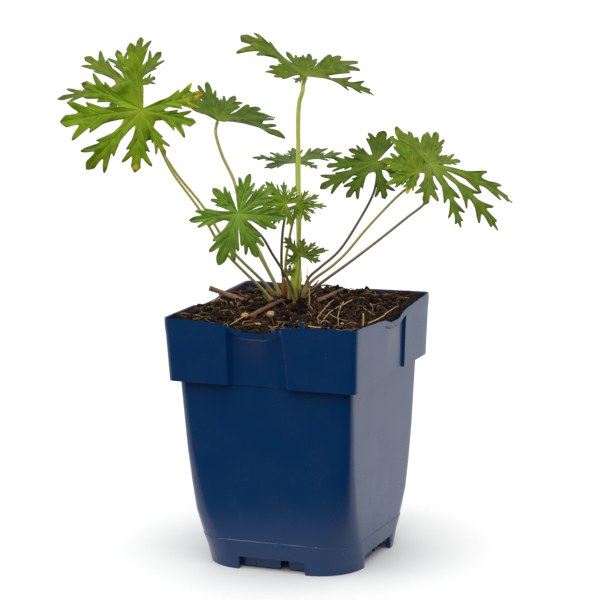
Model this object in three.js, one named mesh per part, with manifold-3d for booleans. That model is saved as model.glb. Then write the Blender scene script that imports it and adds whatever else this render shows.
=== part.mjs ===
// Hardy geranium, a young plant with deeply cut leaves, in its square nursery pot.
// Millimetres, +Z up. The pot's front face looks along -Y, and the plant stands in a frame of
// its own that is turned about the pot's upright axis, so that its best side looks past the
// pot's front right corner.
import * as THREE from 'three';
import { mergeVertices } from 'three/addons/utils/BufferGeometryUtils.js';
import Module from 'manifold-3d';

const wasm = await Module();
wasm.setup();

// ---------------------------------------------------------------- driving dimensions
const GAP = 0.3; // between pieces that touch
const PLANT_TURN = 23; // degrees, the plant's own frame about the pot's axis

const POT = {
  height: 138.5,
  bodyTop: 103.5, // where the proud collar begins
  wall: 1.4,
  blockProud: 4.1, // collar blocks at the corners
  collarRadius: 3, // of their upright corners
  lipProud: 2.2, // lip across the recessed panels
  lipHeight: 2.9,
  panelHalf: 16.3, // half the width of a recessed panel
  blockFlank: 0.5, // half the run of a block's steep side
  rimSag: 2.5, // the rim falls this much from a corner to a block's inner edge
  rimDip: 5.4, // and this much to the middle of a panel
  floorTop: 9.6,
  baseHeight: 7.6, // underside of the raised base plate
  skirt: 2,
  notchHalf: 19.3, // half the width of a drain notch
  drainRadius: 4,
  drainSpacing: 24,
  padDepth: 2.5,
  padLift: 0.9, // the pads behind a notch stop short of the floor
};

// Pads below the base plate behind each notch: where each runs along the face, and how far back.
const PADS = [
  { from: -17, to: -9.5, back: 6.5 },
  { from: -9.5, to: 5, back: 4.5 },
  { from: 9, to: 17.5, back: 5 },
];

// The pot's body: height, half width and corner radius, from the foot up.
const POT_SECTIONS = [
  { z: 0, half: 43.6, radius: 24 },
  { z: 8, half: 44.3, radius: 22 },
  { z: 18, half: 45.7, radius: 17.5 },
  { z: 31, half: 46.8, radius: 12 },
  { z: 46, half: 47.5, radius: 9 },
  { z: 66, half: 48.3, radius: 6 },
  { z: 103.5, half: 49.8, radius: 4 },
  { z: 138.5, half: 51.4, radius: 3 },
];

const SOIL = {
  edge: 133.2, // height along the pot's wall
  mound: 7.2, // extra height at the crown
  moundReach: 21,
  roughness: 0.9,
  hollow: 8, // the soil has sunk in the back left corner
  hollowReach: 13,
  bank: 4.4, // it is heaped towards the back and the left
  bankBackFrom: 6,
  bankLeftFrom: 14,
  bankReach: 33,
  spill: 1.5, // and a little lower again behind the two dips of the rim there
  spillReach: 12,
};

const CROWN = { at: [-3, 10, 132], radii: [12.5, 9.5, 9.6] };
const SHEATH = { below: 5, above: 7, wall: 0.95, flare: 0.9, stemGrown: 1.6 };

const ROOTED = 9; // how far a stalk's foot stands in the crown
const STALK_RADIUS = 0.75;
const MAIN_STEM_RADIUS = 1.25;
const BLADE_THICKNESS = 0.7;
const SINUS = 0.2; // where neighbouring lobes part, as a share of their length
const PETIOLE_SINUS = 0.04;
const LOBE_FOLD = 0.1; // each lobe's halves rise from its midrib
const WIDTH_VARIES = 0.24; // from one half lobe to the next
const LENGTH_VARIES = 0.05; // from one margin point to the next
const MARGIN_ROOM = 0.93; // share of the space between two lobes that a broad lobe may fill

// Half a lobe's margin from the sinus to the apex: along and across, as shares of its length,
// and the foot of the vein that runs out to that point, on the midrib.
const LARGE_MARGIN = [
  { along: 0.38, across: 0.11, foot: 0.13 },
  { along: 0.6, across: 0.235, foot: 0.27 },
  { along: 0.76, across: 0.275, foot: 0.38 },
  { along: 0.88, across: 0.24, foot: 0.47 },
  { along: 0.66, across: 0.1, foot: 0.55 },
  { along: 0.86, across: 0.135, foot: 0.7 },
  { along: 0.89, across: 0.075, foot: 0.8 },
];
const SMALL_MARGIN = [
  { along: 0.4, across: 0.105, foot: 0.15 },
  { along: 0.6, across: 0.23, foot: 0.3 },
  { along: 0.63, across: 0.15, foot: 0.4 },
  { along: 0.86, across: 0.26, foot: 0.48 },
  { along: 0.67, across: 0.09, foot: 0.57 },
  { along: 0.87, across: 0.1, foot: 0.78 },
];

// Each leaf in the plant's frame: hub, the way its blade faces (0 towards the viewer, 90 up) and
// leans to the right, its stalk's route up to the hub, and its lobes in turn from the petiole
// sinus: direction in the blade (0 right, 90 up or away), length, tilt and curl in degrees.
const LEAVES = {
  a: {
    hub: [-80, -38, 251], faces: 14, leans: -3, colour: 'dusky', margin: LARGE_MARGIN,
    route: [[-15, 6, 141], [-39, -9, 171], [-52, -20, 195], [-66, -31, 218], [-73, -36, 235]],
    lobes: [[99, 36, 5, -10], [155, 35, 5, -10], [186, 45, 8, -22], [225, 43, 5, -15],
      [265, 33, 0, -5], [346, 29, 5, -20], [374, 33, 5, -15]],
  },
  b: {
    hub: [-87, -8, 259], faces: 45, leans: -5, colour: 'olive', margin: LARGE_MARGIN,
    route: [[-13, 15, 143], [-35, 9, 168], [-51, 3, 193], [-66, -2, 214], [-80, -8, 241]],
    lobes: [[5, 22, 10, 0], [50, 26, 10, 0], [80, 31, 10, 0], [107, 28, 5, -10],
      [137, 36, 5, -15], [188, 40, 8, -10], [228, 24, 0, -10]],
  },
  c: {
    hub: [-42, 5, 239], faces: 82, leans: 14, colour: 'dusky', margin: LARGE_MARGIN,
    route: [[-10, 11, 141], [-20, 10, 163], [-29, 8, 183], [-34, 7, 206], [-40, 6, 220],
      [-43, 5, 231]],
    lobes: [[-42, 26, 20, -10], [-5, 38, 14, -30], [35, 38, 14, -20], [75, 28, 8, -10],
      [112, 30, 24, 0], [165, 27, 20, -5], [215, 22, 22, -5]],
  },
  d: {
    hub: [-31, -42, 196], faces: 12, leans: 0, colour: 'dusky', margin: LARGE_MARGIN,
    route: [[-2.5, 1, 143], [-3.9, -3, 149], [-9, -12, 160.7], [-14, -21, 171], [-19, -29, 181.4]],
    lobes: [[134, 19, 5, -10], [187, 26, 5, -15], [248, 29, 5, -15], [293, 25, 5, -15],
      [355, 25, 5, -15], [396, 24, 5, -10], [432, 22, 5, -10]],
  },
  e: {
    hub: [-6, -18, 197], faces: 30, leans: 0, colour: 'olive', margin: SMALL_MARGIN,
    route: [[-7, 12, 143], [-9, 3, 159], [-8, -10, 181], [-6.5, -14, 190]],
    lobes: [[25, 10, 5, -10], [60, 11, 15, -10], [95, 12, 15, -10], [132, 16, 15, -10],
      [180, 15, 10, -15], [238, 13, 0, -15], [283, 13, 0, -15]],
  },
  f: {
    hub: [0, -9, 195], faces: 30, leans: 8, colour: 'olive', margin: SMALL_MARGIN,
    route: [[-5, 17, 143], [-7, 11, 157], [-5, 6, 172], [-2, -3, 187]],
    lobes: [[215, 8, 0, -10], [258, 9, 0, -15], [308, 12, 0, -10], [334, 11, 5, -10],
      [356, 16, 10, -10], [383, 13, 15, -10], [410, 10, 15, -10]],
  },
  h: {
    hub: [0, 28, 212], faces: 84, leans: 0, colour: 'dusky', margin: SMALL_MARGIN,
    route: [[0, 18, 143], [0, 22, 170], [0, 26, 197], [0, 28, 206]],
    lobes: [[-35, 14, 5, -20], [13, 26, 12, -8], [42, 24, 12, -5], [95, 22, 8, 0],
      [134, 21, 10, -8], [165, 25, 8, -8], [200, 19, 5, -15]],
  },
  i: {
    hub: [43, 6, 215], faces: 38, leans: -8, colour: 'dusky', margin: LARGE_MARGIN,
    route: [[3, 15, 143], [5.7, 14, 150.5], [12, 13.5, 156.3], [22, 13, 165], [33, 11, 181.5],
      [42, 10, 199]],
    lobes: [[76, 19, 5, -5], [140, 20, 10, -10], [198, 34, 10, -15], [223, 26, 5, -20],
      [272, 22, 0, -20], [318, 20, 0, -20], [350, 20, 5, -10]],
  },
  j: {
    hub: [65, -6, 211], faces: 50, leans: 0, colour: 'olive', margin: LARGE_MARGIN,
    route: [[3.2, 8.5, 143], [6.5, 8, 149], [18.3, 6, 158.3], [25.5, 5, 165], [37.5, 2, 179.6],
      [53, -2, 196.4]],
    lobes: [[-2, 16, 12, -10], [45, 19, 15, -5], [78, 22, 15, -5], [108, 27, 15, -5],
      [156, 21, 10, -15], [203, 19, 5, -20], [243, 15, 0, -20]],
  },
  k: {
    hub: [70, -24, 218], faces: 52, leans: 22, colour: 'dusky', margin: LARGE_MARGIN,
    route: [[4, 4, 143], [11.5, 1, 149.2], [28, -4, 161], [44, -9, 172.7], [59, -15, 184.4],
      [68.5, -20, 200]],
    lobes: [[268, 26, 0, -35], [309, 39, 5, -40], [335, 52, 8, -40], [356, 51, 17, -35],
      [384, 24, 20, -25], [440, 21, 20, -15], [496, 27, 15, -25]],
  },
  l: {
    hub: [1, -10, 167], faces: 65, leans: 0, colour: 'olive', margin: SMALL_MARGIN,
    route: [[-1, 4, 144], [0, -4, 154]],
    lobes: [[-22, 12, 5, -15], [4, 16, 15, -10], [42, 12, 20, -5], [77, 12, 20, -5],
      [124, 15, 20, -10], [182, 10, -25, -25], [232, 8, 0, -20]],
  },
  m: {
    hub: [-4.6, 3, 154.5], faces: 25, leans: -10, colour: 'olive', margin: SMALL_MARGIN,
    route: [[-5, 5, 143], [-4.8, 4.4, 147.5]],
    lobes: [[-25, 2.5, 10, -5], [45, 4.5, 10, -5], [88, 6, 10, -5], [125, 5, 10, -10],
      [205, 2.5, 10, -5]],
  },
  g: {
    hub: [6, 0, 263], faces: 72, leans: 18, colour: 'light', margin: LARGE_MARGIN,
    route: [[-1.8, 9, 141], [-0.6, 7.5, 157], [0.8, 6, 180], [1, 4, 213], [2, 1, 248], [4, 0, 255]],
    lobes: [[0, 38, 15, -28], [39, 36, 18, -15], [88, 20, 20, -10], [124, 20, 12, -10],
      [158, 42, 15, -15], [195, 24, 5, -20], [240, 16, 0, -20]],
  },
};

// Dead stalks on the soil: radius and route, in the plant's frame.
const DEAD_STALKS = {
  left: { radius: 1.6, route: [[-49, 18, 145], [-38, 17, 142], [-25, 15, 139.5], [-18, 13, 138]] },
  front: { radius: 1.3, route: [[-25, -12.3, 135.8], [-16.8, -4, 138.2], [-9, 2, 140.6]] },
  right: { radius: 1.3, route: [[10.4, 2, 139.9], [17.7, 19, 139.4], [25, 36, 139]] },
};
// Pebbles in the soil: place and radii.
const PEBBLES = {
  left: { at: [-29.3, -12.4, 135.2], radii: [2.5, 2.2, 1.8] },
  right: { at: [-15.2, -12.6, 136], radii: [2.6, 2.2, 2.4] },
};

// ---------------------------------------------------------------- materials
const finish = (color, roughness) => new THREE.MeshStandardMaterial({ color, roughness, metalness: 0 });
const POT_PLASTIC = finish(0x10284f, 0.35);
const COMPOST = finish(0x2b2018, 0.95);
const CROWN_SKIN = finish(0x7d7a3c, 0.7);
const LEAF_GREEN = finish(0x4f7a1c, 0.6);
const DEAD_BROWN = finish(0x5c4132, 0.85);
const PEBBLE_TAN = finish(0xb08a55, 0.9);
const STALK_FINISH = {
  dusky: finish(0x5b4a35, 0.6),
  olive: finish(0x8a963f, 0.6),
  light: finish(0x8fae45, 0.55),
};

// ---------------------------------------------------------------- helpers
const vector = (p) => new THREE.Vector3(...p);

/** A geometry from a flat list of points and a flat list of triangle corners. */
function indexed(points, faces) {
  const geometry = new THREE.BufferGeometry();
  geometry.setAttribute('position', new THREE.Float32BufferAttribute(points, 3));
  geometry.setIndex(faces);
  return geometry;
}

/** A closed geometry as a solid that can be cut and joined. */
function toSolid(geometry) {
  const bare = geometry.clone();
  bare.deleteAttribute('normal');
  bare.deleteAttribute('uv');
  const merged = mergeVertices(bare, 1e-4);
  return new wasm.Manifold(new wasm.Mesh({
    numProp: 3,
    vertProperties: new Float32Array(merged.attributes.position.array),
    triVerts: new Uint32Array(merged.index.array),
  }));
}

/** A solid back as a geometry. */
function toGeometry(solid) {
  const mesh = solid.getMesh();
  return indexed(Array.from(mesh.vertProperties), Array.from(mesh.triVerts));
}

const cutAll = (solid, cutters) => cutters.reduce((left, cutter) => left.subtract(cutter), solid);
const joinAll = (solids) => solids.reduce((sum, solid) => sum.add(solid));

/** The same small number between -0.5 and 0.5 for the same seed. */
function wobble(seed) {
  const x = Math.sin(seed * 12.9898) * 43758.5453;
  return x - Math.floor(x) - 0.5;
}

/** A round rod of many flat sides along a smooth curve through the route's points. */
function rod(route, radius, sides, steps) {
  const section = new THREE.Shape();
  for (let side = 0; side < sides; side += 1) {
    const angle = (2 * Math.PI * side) / sides;
    const place = [radius * Math.cos(angle), radius * Math.sin(angle)];
    if (side === 0) section.moveTo(...place);
    else section.lineTo(...place);
  }
  const extrudePath = new THREE.CatmullRomCurve3(route.map(vector), false, 'centripetal');
  return new THREE.ExtrudeGeometry(section, { steps, bevelEnabled: false, extrudePath });
}

/** An ellipsoid of flat faces. */
function pebble(at, radii, detail = 1) {
  const ball = new THREE.IcosahedronGeometry(1, detail);
  ball.scale(...radii);
  ball.translate(...at);
  return ball;
}

// ---------------------------------------------------------------- pot
/** How much of a collar block stands at this distance along a face: 1 on it, 0 on the panel. */
const blockShare = (along, shift = 0) => THREE.MathUtils.clamp(
  (Math.abs(along) - POT.panelHalf - shift) / (2 * POT.blockFlank) + 0.5, 0, 1);

/** Height of the wavy rim at this distance along a face. */
function rimHeight(along) {
  const away = Math.abs(along);
  const corner = POT_SECTIONS.at(-1).half;
  if (away > POT.panelHalf) {
    return POT.height - POT.rimSag * (1 - (away - POT.panelHalf) / (corner - POT.panelHalf));
  }
  const dip = 1 - THREE.MathUtils.smoothstep(away, POT.panelHalf * 0.4, POT.panelHalf);
  return POT.height - POT.rimSag - (POT.rimDip - POT.rimSag) * dip;
}

/** Half width and corner radius of the body at a height. */
function bodyAt(z) {
  const next = Math.max(1, POT_SECTIONS.findIndex((section) => section.z >= z));
  const low = POT_SECTIONS[next - 1];
  const high = POT_SECTIONS[next];
  const share = (z - low.z) / (high.z - low.z);
  return {
    half: THREE.MathUtils.lerp(low.half, high.half, share),
    radius: THREE.MathUtils.lerp(low.radius, high.radius, share),
  };
}

const ARC_STEPS = 4;
const EDGE = POT.panelHalf + POT.blockFlank;
const FLANK = EDGE - 2 * POT.blockFlank;
const PANEL_MARKS = [-EDGE, -FLANK, -10, 0, 10, FLANK, EDGE];
const INNER_MARKS = [-EDGE, -FLANK, FLANK, EDGE]; // for the hollow inside
const SOIL_MARKS = [-EDGE - 0.5, -FLANK - 0.5, 0, FLANK + 0.5, EDGE + 0.5];

/** One closed ring round the pot. Level gives z and the outward offset for a place. */
function potRing(half, radius, panelMarks, level) {
  const flat = half - radius;
  const marks = [-flat, ...panelMarks, flat];
  const ring = [];
  const place = (turn, along, out, angle, markAlong) => {
    const { z, offset } = level(markAlong);
    const x = along + offset * Math.sin(angle);
    const y = -(out + offset * Math.cos(angle));
    ring.push([x * Math.cos(turn) - y * Math.sin(turn), x * Math.sin(turn) + y * Math.cos(turn), z]);
  };
  for (let face = 0; face < 4; face += 1) {
    const turn = (face * Math.PI) / 2;
    marks.forEach((mark) => place(turn, mark, half, 0, mark));
    for (let step = 1; step < ARC_STEPS; step += 1) {
      const angle = (step / ARC_STEPS) * (Math.PI / 2);
      place(turn, flat + radius * Math.sin(angle), flat + radius * Math.cos(angle), angle, half);
    }
  }
  return ring;
}

/** A closed solid through rings that have equal numbers of points, from the lowest up. */
function loft(rings, lowCentre, highCentre) {
  const count = rings[0].length;
  const points = [...rings.flat(), lowCentre, highCentre].flat();
  const low = rings.length * count;
  const faces = [];
  for (let i = 0; i < count; i += 1) {
    const j = (i + 1) % count;
    for (let row = 0; row < rings.length - 1; row += 1) {
      const a = row * count + i;
      const b = row * count + j;
      faces.push(a, b, b + count, a, b + count, a + count);
    }
    const top = (rings.length - 1) * count;
    faces.push(low, j, i, low + 1, top + i, top + j);
  }
  return indexed(points, faces);
}

/** A ring of the body at a height, or of the collar with its blocks, panels and lip. */
function bodyRing(z, choices) {
  const { inset = 0, collar = false, lip = 0, rim = null, marks = PANEL_MARKS, shift = 0 } = choices;
  const { half, radius } = bodyAt(z);
  const proud = collar ? POT.blockProud : 0;
  return potRing(half + proud, collar ? POT.collarRadius : radius, marks, (along) => ({
    z: rim === null ? z : rimHeight(along) + rim,
    offset: -inset - (proud - lip) * (1 - blockShare(along, shift)),
  }));
}

const COLLAR_STEP = 0.6; // the collar's underside slopes a little

function pot() {
  const outside = [
    ...POT_SECTIONS.slice(0, -1).map(({ z }) => bodyRing(z, {})),
    bodyRing(POT.bodyTop + COLLAR_STEP, { collar: true }),
    bodyRing(POT.height, { collar: true, rim: -POT.lipHeight - 0.4 }),
    bodyRing(POT.height, { collar: true, lip: POT.lipProud, rim: -POT.lipHeight }),
    bodyRing(POT.height, { collar: true, lip: POT.lipProud, rim: 0 }),
  ];
  let solid = toSolid(loft(outside, [0, 0, 0], [0, 0, POT.height - POT.rimDip]));
  solid = solid.subtract(toSolid(hollow()));

  const under = { inset: POT.skirt, marks: INNER_MARKS };
  const foot = bodyRing(0, under).map(([x, y]) => [x, y, -1]);
  const plate = bodyRing(POT.baseHeight, under);
  solid = solid.subtract(toSolid(loft([foot, plate], [0, 0, -1], [0, 0, POT.baseHeight])));

  const notch = new THREE.BoxGeometry(2 * POT.notchHalf, 3 * plate[0][1] * -1, POT.baseHeight + 1);
  notch.translate(0, 0, (POT.baseHeight - 1) / 2);
  const across = notch.clone().rotateZ(Math.PI / 2);
  const drains = [[0, 0], [1, 1], [-1, 1], [-1, -1], [1, -1]].map(([x, y]) => {
    const drain = new THREE.CylinderGeometry(POT.drainRadius, POT.drainRadius, 6, 8);
    drain.rotateX(Math.PI / 2);
    drain.translate(x * POT.drainSpacing, y * POT.drainSpacing, POT.floorTop);
    return toSolid(drain);
  });
  const cut = cutAll(solid, [toSolid(notch), toSolid(across), ...drains]);
  return toGeometry(joinAll([cut, ...pads()]));
}

/** The pads behind the four notches, sunk a little into the base plate. */
function pads() {
  const sunk = 0.5;
  const height = POT.baseHeight + sunk - POT.padLift;
  return [0, 1, 2, 3].flatMap((face) => PADS.map(({ from, to, back }) => {
    const pad = new THREE.BoxGeometry(to - from + 2 * sunk, POT.padDepth, height);
    const out = POT_SECTIONS[0].half - back - POT.padDepth / 2;
    pad.translate((from + to) / 2, -out, POT.padLift + height / 2);
    return toSolid(pad.rotateZ((face * Math.PI) / 2));
  }));
}

/** Rings from the pot's floor up to its collar, some way in from the outside. */
function insideRings(floor, inset, marks) {
  const between = POT_SECTIONS.filter(({ z }) => z > floor + 1 && z <= POT.bodyTop);
  return [floor, ...between.map(({ z }) => z)].map((z) => bodyRing(z, { inset, marks }));
}

/** The room inside the pot, a wall's thickness in and open at the top. */
function hollow() {
  const inner = { inset: POT.wall, collar: true, marks: INNER_MARKS };
  const top = POT.height + 4;
  const rings = insideRings(POT.floorTop, POT.wall, INNER_MARKS);
  rings.push(bodyRing(POT.bodyTop + COLLAR_STEP + 1, inner));
  rings.push(bodyRing(POT.height, inner).map(([x, y]) => [x, y, top]));
  return loft(rings, [0, 0, POT.floorTop], [0, 0, top]);
}

// ---------------------------------------------------------------- soil
/** A place in the plant's frame, in the pot's. */
function turned([x, y, z]) {
  const turn = THREE.MathUtils.degToRad(PLANT_TURN);
  return [x * Math.cos(turn) - y * Math.sin(turn), x * Math.sin(turn) + y * Math.cos(turn), z];
}

/** Height of the soil's surface at a place in the pot. */
function soilHeight(x, y) {
  const [moundX, moundY] = turned(CROWN.at);
  const fromCrown = Math.hypot(x - moundX, y - moundY);
  const mound = SOIL.mound * Math.exp(-((fromCrown / SOIL.moundReach) ** 2));
  const rim = POT_SECTIONS.at(-1).half;
  const toCorner = Math.hypot(x + rim, y - rim);
  const sunk = SOIL.hollow * Math.exp(-((toCorner / SOIL.hollowReach) ** 2));
  const back = THREE.MathUtils.smoothstep(y - SOIL.bankBackFrom, 0, SOIL.bankReach);
  const left = THREE.MathUtils.smoothstep(-x - SOIL.bankLeftFrom, 0, SOIL.bankReach);
  const banked = SOIL.bank * (1 - (1 - back) * (1 - left));
  const spilt = [Math.hypot(x, y - rim), Math.hypot(x + rim, y)].reduce(
    (sum, away) => sum + SOIL.spill * Math.exp(-((away / SOIL.spillReach) ** 2)), 0);
  const lumps = Math.sin(0.31 * x + 1.7 * Math.sin(0.17 * y)) * Math.cos(0.27 * y - 0.4)
    + 0.6 * Math.sin(0.63 * x - 0.5 * y);
  return SOIL.edge + mound + banked - spilt - sunk + SOIL.roughness * lumps;
}

const SOIL_RINGS = [0.86, 0.66, 0.48, 0.3, 0.14];

/** The soil that fills the pot, with its mounded surface, before the holes for what stands in it. */
function soilBody() {
  const inset = POT.wall + GAP;
  const floor = POT.floorTop + GAP;
  const collar = { inset: inset + 0.15, collar: true, marks: SOIL_MARKS, shift: 0.5 };
  const rings = insideRings(floor, inset, SOIL_MARKS);
  rings.push(bodyRing(POT.bodyTop + COLLAR_STEP + 1.2, collar));
  const wallTop = bodyRing(POT.bodyTop + 25, collar);
  rings.push(wallTop.map(([x, y]) => [x, y, soilHeight(x, y) - 1]));
  SOIL_RINGS.forEach((share) => rings.push(wallTop.map(([x, y]) => {
    const place = [x * share, y * share];
    return [...place, soilHeight(...place)];
  })));
  return loft(rings, [0, 0, floor], [0, 0, soilHeight(0, 0)]);
}

// ---------------------------------------------------------------- leaves
/** A leaf's frame: its face's normal, its rightward direction and the third axis. */
function bladeFrame({ faces, leans }) {
  const up = THREE.MathUtils.degToRad(faces);
  const lean = THREE.MathUtils.degToRad(leans);
  const normal = new THREE.Vector3(
    Math.sin(lean), -Math.cos(lean) * Math.cos(up), Math.cos(lean) * Math.sin(up));
  const right = new THREE.Vector3(1, 0, 0).addScaledVector(normal, -normal.x).normalize();
  return { normal, right, third: new THREE.Vector3().crossVectors(normal, right) };
}

/** Blend two lobes' tilt and bend (radians per millimetre) at a direction between them. */
function poseAt(lobes, direction) {
  const count = lobes.length;
  const first = lobes[0][0];
  const turn = first + ((direction - first + 720) % 360);
  let index = count - 1;
  while (index > 0 && lobes[index][0] > turn) index -= 1;
  const low = lobes[index];
  const high = lobes[(index + 1) % count];
  const span = (high[0] - low[0] + 720) % 360;
  const share = THREE.MathUtils.smoothstep((turn - low[0]) / span, 0, 1);
  const tilt = THREE.MathUtils.lerp(low[2], high[2], share);
  const bend = THREE.MathUtils.lerp(low[3] / low[1], high[3] / high[1], share);
  return { tilt: THREE.MathUtils.degToRad(tilt), bend: THREE.MathUtils.degToRad(bend) };
}

/** A point of the flat blade, bent into place: on an arc out from the hub, folded at midribs. */
function bentPoint(leaf, frame, flat, rise, fold) {
  const reach = Math.hypot(flat.x, flat.y);
  const direction = Math.atan2(flat.y, flat.x);
  const { tilt, bend } = poseAt(leaf.lobes, ((direction * 180) / Math.PI + 720) % 360);
  const end = tilt + bend * reach;
  const straight = Math.abs(bend) < 1e-6;
  const out = straight ? reach * Math.cos(tilt) : (Math.sin(end) - Math.sin(tilt)) / bend;
  const high = straight ? reach * Math.sin(tilt) : (Math.cos(tilt) - Math.cos(end)) / bend;
  const along = out - rise * Math.sin(end);
  const lift = high + fold + rise * Math.cos(end);
  return vector(leaf.hub)
    .addScaledVector(frame.right, along * Math.cos(direction))
    .addScaledVector(frame.third, along * Math.sin(direction))
    .addScaledVector(frame.normal, lift);
}

/** The flat blade: its points with their folds, and triangles that follow the veins. */
function flatBlade(leaf, seed) {
  const points = [{ x: 0, y: 0, fold: 0 }];
  const faces = [];
  const lobeCount = leaf.lobes.length;
  const radians = leaf.lobes.map(([direction]) => THREE.MathUtils.degToRad(direction));
  const polar = (reach, angle, fold) => {
    points.push({ x: reach * Math.cos(angle), y: reach * Math.sin(angle), fold });
    return points.length - 1;
  };
  const sinuses = leaf.lobes.map(([, length], k) => {
    const next = (k + 1) % lobeCount;
    const half = ((radians[next] - radians[k] + 4 * Math.PI) % (2 * Math.PI)) / 2;
    const depth = k === lobeCount - 1 ? PETIOLE_SINUS : SINUS;
    const reach = depth * Math.min(length, leaf.lobes[next][1]);
    return { half, index: polar(reach, radians[k] + half, LOBE_FOLD * reach * Math.sin(half)) };
  });
  const widest = Math.max(...leaf.margin.map(({ along, across }) => Math.atan2(across, along)));
  leaf.lobes.forEach(([, length], k) => {
    const feet = leaf.margin.map(({ foot }) => polar(foot * length, radians[k], 0));
    const apex = polar(length, radians[k], 0);
    [1, -1].forEach((side) => {
      const sinus = side === 1 ? sinuses[k] : sinuses[(k + lobeCount - 1) % lobeCount];
      const room = Math.tan(sinus.half * MARGIN_ROOM) / Math.tan(widest);
      const slim = Math.min(room, 1 + WIDTH_VARIES * wobble(seed + 7 * k + side));
      let lastFoot = 0;
      let lastEdge = sinus.index;
      const strip = (a, b, c) => faces.push(...(side === 1 ? [a, b, c] : [a, c, b]));
      leaf.margin.forEach((point, i) => {
        const draw = seed + 31 * k + 5 * i + 2 * side;
        const along = point.along * (1 + LENGTH_VARIES * wobble(draw)) * length;
        const across = point.across * slim * length;
        const angle = radians[k] + side * Math.atan2(across, along);
        const edge = polar(Math.hypot(along, across), angle, LOBE_FOLD * across);
        strip(lastFoot, feet[i], edge);
        strip(lastFoot, edge, lastEdge);
        lastFoot = feet[i];
        lastEdge = edge;
      });
      strip(lastFoot, apex, lastEdge);
    });
  });
  return { points, faces };
}

/** A blade as a thin solid: the bent surface, its copy below, and a wall along the margin. */
function blade(leaf, seed) {
  const frame = bladeFrame(leaf);
  const { points, faces } = flatBlade(leaf, seed);
  const half = BLADE_THICKNESS / 2;
  const solid = [half, -half].flatMap((rise) => points.flatMap(
    (point) => bentPoint(leaf, frame, point, rise, point.fold).toArray()));
  const all = [...faces];
  const below = points.length;
  const open = new Set();
  for (let i = 0; i < faces.length; i += 3) {
    const [a, b, c] = faces.slice(i, i + 3);
    all.push(below + a, below + c, below + b);
    [[a, b], [b, c], [c, a]].forEach(([from, to]) => {
      if (!open.delete(`${to} ${from}`)) open.add(`${from} ${to}`);
    });
  }
  open.forEach((edge) => {
    const [from, to] = edge.split(' ').map(Number);
    all.push(from, below + from, below + to, from, below + to, to);
  });
  return indexed(solid, all);
}

// ---------------------------------------------------------------- stalks, crown and debris
/** A stalk's route from inside the crown, on through its points, and square on to the blade. */
function fullRoute(leaf) {
  const foot = vector(leaf.route[0]);
  const root = foot.clone().lerp(vector(CROWN.at), 0.1).setZ(foot.z - ROOTED);
  const { normal } = bladeFrame(leaf);
  const hub = vector(leaf.hub);
  const seat = BLADE_THICKNESS / 2 + GAP;
  const ends = [5, seat].map((below) => hub.clone().addScaledVector(normal, -below).toArray());
  return [root.toArray(), ...leaf.route, ...ends];
}

const stalkSize = (name) => (name === 'g'
  ? { radius: MAIN_STEM_RADIUS, sides: 7 } : { radius: STALK_RADIUS, sides: 6 });

function stalk(name, clearance = 0) {
  const { radius, sides } = stalkSize(name);
  const route = fullRoute(LEAVES[name]);
  return rod(route, radius + clearance, sides, 2 * route.length - 4);
}

/** A short flared sleeve that the stalk grows out of. */
function sheath(name, clearance = 0) {
  const { radius, sides } = stalkSize(name);
  const foot = vector(LEAVES[name].route[0]);
  const rise = vector(LEAVES[name].route[1]).sub(foot).normalize();
  const grown = name === 'g' ? SHEATH.stemGrown : 1;
  const length = (SHEATH.below + SHEATH.above) * grown;
  const sleeve = new THREE.CylinderGeometry(
    radius + SHEATH.wall + clearance, radius + SHEATH.wall + SHEATH.flare + clearance,
    length + 2 * clearance, sides);
  sleeve.applyQuaternion(new THREE.Quaternion().setFromUnitVectors(new THREE.Vector3(0, 1, 0), rise));
  const middle = foot.addScaledVector(rise, length / 2 - SHEATH.below);
  sleeve.translate(...middle.toArray());
  return sleeve;
}

const crownCore = (clearance) => pebble(CROWN.at, CROWN.radii.map((r) => r + clearance), 1);

// ---------------------------------------------------------------- the object
const part = new THREE.Group();
const plant = new THREE.Group();
plant.rotation.z = THREE.MathUtils.degToRad(PLANT_TURN);
part.add(plant);

function addPiece(parent, name, geometry, material) {
  const mesh = new THREE.Mesh(geometry, material);
  mesh.name = name;
  parent.add(mesh);
}

const names = Object.keys(LEAVES);
const stalkHoles = names.map((name) => toSolid(stalk(name, GAP + 0.05)));
const sleeves = names.map((name) => toSolid(sheath(name)));
const crown = joinAll([toSolid(crownCore(0)), ...sleeves]);
const deadRod = ({ route, radius }, clearance) => rod(route, radius + clearance, 6, 7);
const grow = (radii) => radii.map((radius) => radius + GAP);

const holes = joinAll([
  toSolid(crownCore(GAP)),
  ...stalkHoles,
  ...names.map((name) => toSolid(sheath(name, GAP + 0.1))),
  ...Object.values(DEAD_STALKS).map((dead) => toSolid(deadRod(dead, GAP))),
  ...Object.values(PEBBLES).map(({ at, radii }) => toSolid(pebble(at, grow(radii)))),
]);
const wholeSoil = toSolid(soilBody()).subtract(holes.rotate([0, 0, PLANT_TURN]));
// Crumbs that the holes leave between them are dropped.
const soil = wholeSoil.decompose().reduce((best, one) => (one.volume() > best.volume() ? one : best));

addPiece(part, 'pot', pot(), POT_PLASTIC);
addPiece(part, 'potting_soil', toGeometry(soil), COMPOST);
addPiece(plant, 'crown', toGeometry(cutAll(crown, stalkHoles)), CROWN_SKIN);
names.forEach((name, index) => {
  const leaf = LEAVES[name];
  const stalkName = name === 'g' ? 'main_stem' : `stalk_${name}`;
  addPiece(plant, stalkName, stalk(name), STALK_FINISH[leaf.colour]);
  addPiece(plant, `blade_${name}`, blade(leaf, 100 * (index + 1)), LEAF_GREEN);
});
Object.entries(DEAD_STALKS).forEach(([name, dead]) => {
  addPiece(plant, `dead_stalk_${name}`, deadRod(dead, 0), DEAD_BROWN);
});
Object.entries(PEBBLES).forEach(([name, { at, radii }]) => {
  addPiece(plant, `pebble_${name}`, pebble(at, radii), PEBBLE_TAN);
});

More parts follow.
